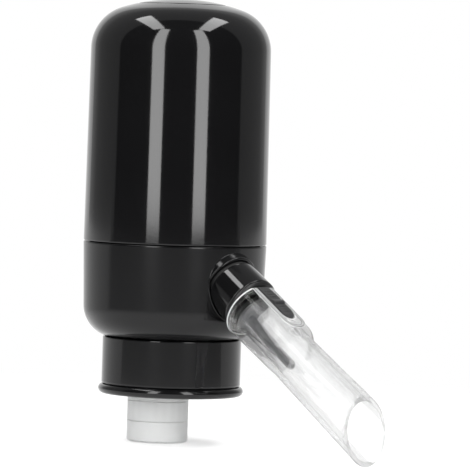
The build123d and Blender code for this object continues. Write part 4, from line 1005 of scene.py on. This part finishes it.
# Aeration tube: a cone from the spigot, then a slim round-ended tube, with a stepped flange at its root
tubeSizes = dict(
    lift=-0.0034, back=0.0125, root=0.0029, rootEnd=0.0132, waist=0.0019,
    waistAt=0.0256, waistEdge=0.00005, tip=0.0016, tipEnd=0.037, tipTurn=50,
    bore=0.001, boreInset=0.0004,
)
flangeSizes = dict(
    hole=0.0026, back=0.01285, steps=((0.0058, 0.0131), (0.0049, 0.0134), (0.0042, 0.0137)),
)


def tubeLine():
    s = tubeSizes
    return rounded([
        (s["bore"], s["back"]), (s["root"], s["back"]), (s["root"], s["rootEnd"], fineEdge),
        (s["waist"], s["waistAt"]), (s["tip"], s["waistAt"] + hairEdge, s["waistEdge"]),
        *arcPoints(0, s["tipEnd"] - s["tip"], s["tip"], 0, s["tipTurn"], 8),
        (s["bore"], s["tipEnd"] - s["boreInset"], 0),
    ])


def flangeLine():
    s = flangeSizes
    low, corners = s["back"], [(s["hole"], s["back"])]
    for radius, high in s["steps"]:
        corners += [(radius, low), (radius, high)]
        low = high
    return rounded([*corners, (s["hole"], low)])


def flangeWay(x, y, h):
    # its hole is where the tube leaves, its outside round the spigot's axis
    s = flangeSizes
    outward = (hypot(x, y) - s["hole"]) / (s["steps"][0][0] - s["hole"])
    return x, y + tubeSizes["lift"] * (1 - outward), h


addPiece("aerationTube", turned(tubeLine(), 64, lift=tubeSizes["lift"]), spoutFrame, smokePlastic, "housing",
         ["aeration_tube"])
addPiece("tubeFlange", turned(flangeLine(), 96, way=flangeWay), spoutFrame, flangeGreyPaintedHighlights, "housing",
         ["aeration_tube"])
print("spout made")

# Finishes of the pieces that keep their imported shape: slot, material, colour and, where it isn't the
# family's own, roughness
finishRows = (
    (moulded,
     ("base_plastic", "baseSatin", (0.02, 0.02, 0.021)),
     ("soft_clear", "softClear", (0.6, 0.61, 0.6), 0.4),
     ("core_plastic", "coreMoulded", (0.5, 0.5, 0.49)),
     ("carrier_plastic", "carrierMoulded", (0.03, 0.03, 0.032)),
     ("pump_plastic", "pumpMoulded", (0.5, 0.5, 0.46)),
     ("crank_plastic", "crankMoulded", (0.7, 0.69, 0.64)),
     ("end_cap_plastic", "endCapMoulded", (0.06, 0.06, 0.06)),
     ("elbow_plastic", "elbowMoulded", (0.45, 0.45, 0.45)),
     ("board_green", "boardLacquer", (0.015, 0.1, 0.04), 0.3),
     ("switch_black", "switchMoulded", (0.02, 0.02, 0.02)),
     ("plunger_red", "plungerMoulded", (0.45, 0.04, 0.03)),
     ("lead_sleeve", "leadSleeve", (0.35, 0.02, 0.02), 0.4),
     ("magnet_grey", "magnetGrey", (0.07, 0.07, 0.07), 0.6),
     ("cell_sleeve", "cellSleeve", (0.02, 0.02, 0.022), 0.28),
     ("cell_band", "cellBand", (0.42, 0.22, 0.09), 0.25)),
    (metal,
     ("can_zinc", "canZinc", (0.62, 0.62, 0.6)),
     ("bracket_steel", "bracketSteel", (0.58, 0.58, 0.57)),
     ("shaft_steel", "shaftSteel", (0.7, 0.7, 0.7), 0.18),
     ("rotor_steel", "rotorSteel", (0.3, 0.29, 0.28), 0.45),
     ("bush_bronze", "bushBronze", (0.68, 0.47, 0.22)),
     ("contact_nickel", "contactNickel", (0.72, 0.7, 0.66), 0.22),
     ("spring_steel", "springSteel", (0.6, 0.6, 0.6), 0.25),
     ("screw_steel", "screwSteel", (0.5, 0.5, 0.5), 0.28),
     ("nut_steel", "nutSteel", (0.56, 0.56, 0.55))),
)
finishes = {"soft_black": softBlack, "latch_satin": latchSatin, "collar_gloss": collarGloss}
for family, *rows in finishRows:
    for slotName, name, colour, *rough in rows:
        changes = {"rough": rough[0]} if rough else {}
        finishes[slotName] = surfaceMaterial(name, family, colour=colour, **changes)
finishes["hose_clear"] = clearMaterial(
    "hoseClear", colour=(0.9, 0.92, 0.91), transmission=0.8, ior=1.42, flow=300, rough=0.12, bump=0.1,
)
slotOf = {entry["node"]: entry["material_slot"] for entry in frame["record"]["subparts"]}
for node, thing in frame["nodes"].items():
    finish = finishes.get(slotOf.get(node))
    if finish and not thing.hide_render:
        for place in thing.material_slots:
            place.material = finish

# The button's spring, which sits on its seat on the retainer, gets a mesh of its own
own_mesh(frame["nodes"]["button_spring"])

# Battery cells: a plain sleeve with rolled ends, a band, a crimped cup and the contact nub
cellSizes = dict(
    radius=0.0052, length=0.0437, nub=0.0019, nubHeight=0.0008, nubFoot=0.0003, roll=0.0006,
    rollIn=0.0009, skin=0.0004, bandFrom=0.78, bandInset=0.001, lap=0.00001,
    cupInset=0.001, cupDrop=0.0003,
)


def cellShapes(low, upright):
    # the sleeve, its band and the metal ends, along +Z from the minus end
    s = cellSizes
    radius, high, skin = s["radius"], s["length"], s["skin"]
    rolled, inner, cup = radius - s["rollIn"], radius - skin, radius - s["cupInset"]
    bandLow, cupTop, nubTop = high * s["bandFrom"], high - s["cupDrop"], high + s["nubHeight"]
    sleeve = [
        (rolled, 0.0, fineEdge), (radius, 0.0, s["roll"]), (radius, bandLow, 0),
        (radius, bandLow + s["lap"], 0), (inner, bandLow + s["lap"], 0), (inner, skin, 0),
    ]
    band = [
        (inner, bandLow, 0), (radius, bandLow, 0), (radius, high, s["roll"]),
        (rolled, high, fineEdge), (rolled, high - skin, 0), (inner, high - s["bandInset"], 0),
    ]
    ends = [
        (0, hairEdge, 0), (cup, hairEdge, fineEdge), (cup, cupTop, fineEdge),
        (s["nub"] + s["nubFoot"], cupTop), (s["nub"], nubTop, softEdge), (0, nubTop, 0),
    ]
    parts = []
    for corners in (sleeve, band, ends):
        verts, faces = turned(rounded(corners), 64)
        parts.append(([(x, y, (h if upright else high - h) + low) for x, y, h in verts], faces))
    return parts


for number in range(1, 7):
    cellLow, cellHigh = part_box(f"battery_{number}")
    upright = number % 2 == 1
    centre = Matrix.Translation(((cellLow.x + cellHigh.x) / 2, (cellLow.y + cellHigh.y) / 2, 0))
    base = cellLow.z if upright else cellLow.z + cellSizes["nubHeight"]
    sleeveShape, bandShape, endShape = cellShapes(base, upright)
    addPiece(f"cellSleeve{number}", sleeveShape, centre, finishes["cell_sleeve"], "housing",
             [f"battery_{number}"])
    addPiece(f"cellBand{number}", bandShape, centre, finishes["cell_band"], "housing", ())
    addPiece(f"cellEnds{number}", endShape, centre, finishes["contact_nickel"], "housing", ())
print("inner pieces finished")

# Camera: far away with a long lens, a little above the seam, rolled as in the photograph
cameraSizes = dict(
    azimuth=-41.5, distance=1.43, aboveSeam=0.056, aimAside=0.0199, aimAboveSeam=0.0033,
    roll=1.83, lens=328.6, sensor=36.0, clip=0.05,
)
azimuth = radians(cameraSizes["azimuth"])
toCamera = Vector((sin(azimuth), -cos(azimuth), 0))
toRight = Vector((-toCamera.y, toCamera.x, 0))


def addCamera():
    s = cameraSizes
    centre = Vector((0, bodyY, seam))
    place = centre + toCamera * s["distance"] + Vector((0, 0, s["aboveSeam"]))
    aim = centre + toRight * s["aimAside"] + Vector((0, 0, s["aimAboveSeam"]))
    lens = bpy.data.cameras.new("photoCamera")
    lens.sensor_width = s["sensor"]
    lens.lens = s["lens"]
    lens.clip_start = s["clip"]
    camera = linked("photoCamera", lens)
    turn = (place - aim).to_track_quat("Z", "Y").to_matrix().to_4x4()
    camera.matrix_world = Matrix.Translation(place) @ turn @ Matrix.Rotation(radians(s["roll"]), 4, "Z")
    scene.camera = camera


addCamera()

# Studio: pale floor, white surroundings, a dark tent on the camera's side and tall soft boxes
studio = dict(
    floorDrop=0.0004, floorRadius=6.0, floorColour=0.8, floorLift=0.48, floorShine=0.1,
    paperRough=0.9, fadeFrom=0.1, fadeTo=0.32,
    roomLevel=1.0, tentRadius=2.5, tentOpening=142, darkTo=83, darkBlend=0.015,
    frontTone=0.03, sideTone=0.3, sideFrom=0.22, backTone=0.55, backTo=0.1,
    matTone=0.4, matFrom=0.3, matTo=2.4, matTurn=88,
    boxDistance=1.3, boxAzimuth=28.3, boxWidth=0.36, boxLow=0.03, boxHigh=1.8,
    boxRadiance=6.6, topHeight=1.3, topAside=0.62, topWidth=0.36,
    topFront=0.75, topBack=-0.35, topRadiance=7.0,
)


def backgroundRays(tree):
    # 1 for the rays that show the background: straight to the camera, mirrored or through clear plastic
    rays = addNode(tree, "LightPath", {}).outputs
    straight = mathNode(tree, "MAXIMUM", rays["Is Camera Ray"], rays["Is Transmission Ray"])
    return mathNode(tree, "MAXIMUM", straight, rays["Is Glossy Ray"])


def seenThrough(tree, surface):
    # the camera looks through this surface; light and reflections meet it
    rays = addNode(tree, "LightPath", {}, "Is Camera Ray")
    setSurface(tree, mixShaders(tree, rays, surface, addNode(tree, "BsdfTransparent", {}, "BSDF")))


def addWorld():
    world = bpy.data.worlds.new("studioRoom")
    scene.world = world
    world.use_nodes = True
    tree = world.node_tree
    tree.nodes.clear()
    room = addNode(tree, "Background", {"Strength": studio["roomLevel"]}, "Background")
    white = addNode(tree, "Background", {"Color": grey(1)}, "Background")
    addNode(tree, "OutputWorld", {"Surface": mixShaders(tree, backgroundRays(tree), room, white)})


def addStage(name, verts, faces, material):
    mesh = bpy.data.meshes.new(name)
    mesh.from_pydata(verts, [], faces)
    mesh.materials.append(material)
    mesh.shade_smooth()
    stage = linked(name, mesh)


def addTent():
    # a dark cloth shell round the camera, grey to the sides and open to the white behind the part
    s = studio
    material, tree, shader = newMaterial("tentCloth")
    toward = addNode(tree, "VectorMath", {
        0: addNode(tree, "TexCoord", {}, "Object"), 1: tuple(toCamera / s["tentRadius"]),
    }, "Value", operation="DOT_PRODUCT")
    tones = addNode(tree, "ValToRGB", {"Fac": mapped(tree, toward, -1, 1)})
    dark = (cos(radians(s["darkTo"])) + 1) / 2
    marks = ((s["backTo"], s["backTone"]), (s["sideFrom"], s["sideTone"]),
             (dark - s["darkBlend"], s["sideTone"]), (dark, s["frontTone"]))
    band = tones.color_ramp
    while len(band.elements) < len(marks):
        band.elements.new(0.5)
    for element, (position, tone) in zip(band.elements, marks):
        element.position = position
        element.color = grey(tone)
    seenThrough(tree, addNode(tree, "Emission", {"Color": tones.outputs["Color"]}, "Emission"))
    rings, steps = 40, 48
    verts = [tuple(toCamera * s["tentRadius"])]
    for n in range(1, rings + 1):
        lean = radians(s["tentOpening"] * n / rings)
        for turn in turns(steps):
            out = toRight * cos(turn) + Vector((0, 0, 1)) * sin(turn)
            verts.append(tuple((toCamera * cos(lean) + out * sin(lean)) * s["tentRadius"]))
    faces = [(0, 1 + m, 1 + (m + 1) % steps) for m in range(steps)]
    faces += [(1 + a, 1 + d, 1 + c, 1 + b) for a, b, c, d in gridFaces(rings, steps, False)]
    addStage("studioTent", verts, faces, material)


def addFloor():
    # pale paper that keeps the part's shadow and fades to plain white away from it
    s = studio
    low, count = plugLow.z - s["floorDrop"], 64
    material, tree, shader = newMaterial("floorPaper")
    feed(tree, shader, {
        "Base Color": grey(s["floorColour"]), "Roughness": s["paperRough"],
        "Specular IOR Level": s["floorShine"],
    })
    seen = backgroundRays(tree)
    lift = addNode(tree, "Emission", {"Color": grey(s["floorLift"]), "Strength": seen}, "Emission")
    near = addNode(tree, "AddShader", {0: shader.outputs["BSDF"], 1: lift}, "Shader")
    white = addNode(tree, "Emission", {"Color": grey(1), "Strength": seen}, "Emission")
    place = addNode(tree, "TexCoord", {}, "Object")
    away = addNode(tree, "VectorMath", {0: place}, "Value", operation="LENGTH")
    fade = mapped(tree, away, s["fadeFrom"], s["fadeTo"], soft=True)
    setSurface(tree, mixShaders(tree, fade, near, white))
    corners = [(*polar(s["floorRadius"], turn), low) for turn in turns(count)]
    addStage("paleFloor", corners, [tuple(range(count))], material)


def addMat():
    # a grey mat on the floor, from in front of the part to the tent; the camera doesn't see it
    s = studio
    material, tree, shader = newMaterial("greyMat")
    feed(tree, shader, {"Base Color": grey(s["matTone"]), "Roughness": s["paperRough"]})
    seenThrough(tree, shader.outputs["BSDF"])
    lift = Vector((0, 0, plugLow.z - s["floorDrop"] / 2))
    verts, steps = [], 36
    for radius in (s["matFrom"], s["matTo"]):
        for n in range(steps + 1):
            turn = radians(s["matTurn"] * (2 * n / steps - 1))
            verts.append(tuple((toCamera * cos(turn) + toRight * sin(turn)) * radius + lift))
    faces = [(n, n + 1, steps + 2 + n, steps + 1 + n) for n in range(steps)]
    addStage("greyMat", verts, faces, material)


def addSoftBox(name, centre, turn, width, height, radiance):
    lamp = bpy.data.lights.new(name, "AREA")
    lamp.shape = "RECTANGLE"
    lamp.size = width
    lamp.size_y = height
    lamp.energy = radiance * pi * width * height
    linked(name, lamp).matrix_world = Matrix.Translation(centre) @ turn


def addLamps():
    # two tall boxes in front, and two flat ones overhead that lie along the camera's way
    s = studio
    centre = Vector((0, bodyY, 0))
    middle = Vector((0, 0, (s["boxLow"] + s["boxHigh"]) / 2))
    overhead = toCamera * (s["topFront"] + s["topBack"]) / 2 + Vector((0, 0, s["topHeight"]))
    level = Matrix.Rotation(atan2(toCamera.y, toCamera.x) - pi / 2, 4, "Z")
    for side, name in ((-1, "leftBox"), (1, "rightBox")):
        way = Matrix.Rotation(radians(s["boxAzimuth"] * side), 3, "Z") @ toCamera * s["boxDistance"]
        turn = way.to_track_quat("Z", "Y").to_matrix().to_4x4()
        addSoftBox(name, centre + way + middle, turn, s["boxWidth"], s["boxHigh"] - s["boxLow"],
                   s["boxRadiance"])
        addSoftBox(f"{name}Top", centre + toRight * side * s["topAside"] + overhead, level, s["topWidth"],
                   s["topFront"] - s["topBack"], s["topRadiance"])


addWorld()
addTent()
addFloor()
addMat()
addLamps()
print("studio made")
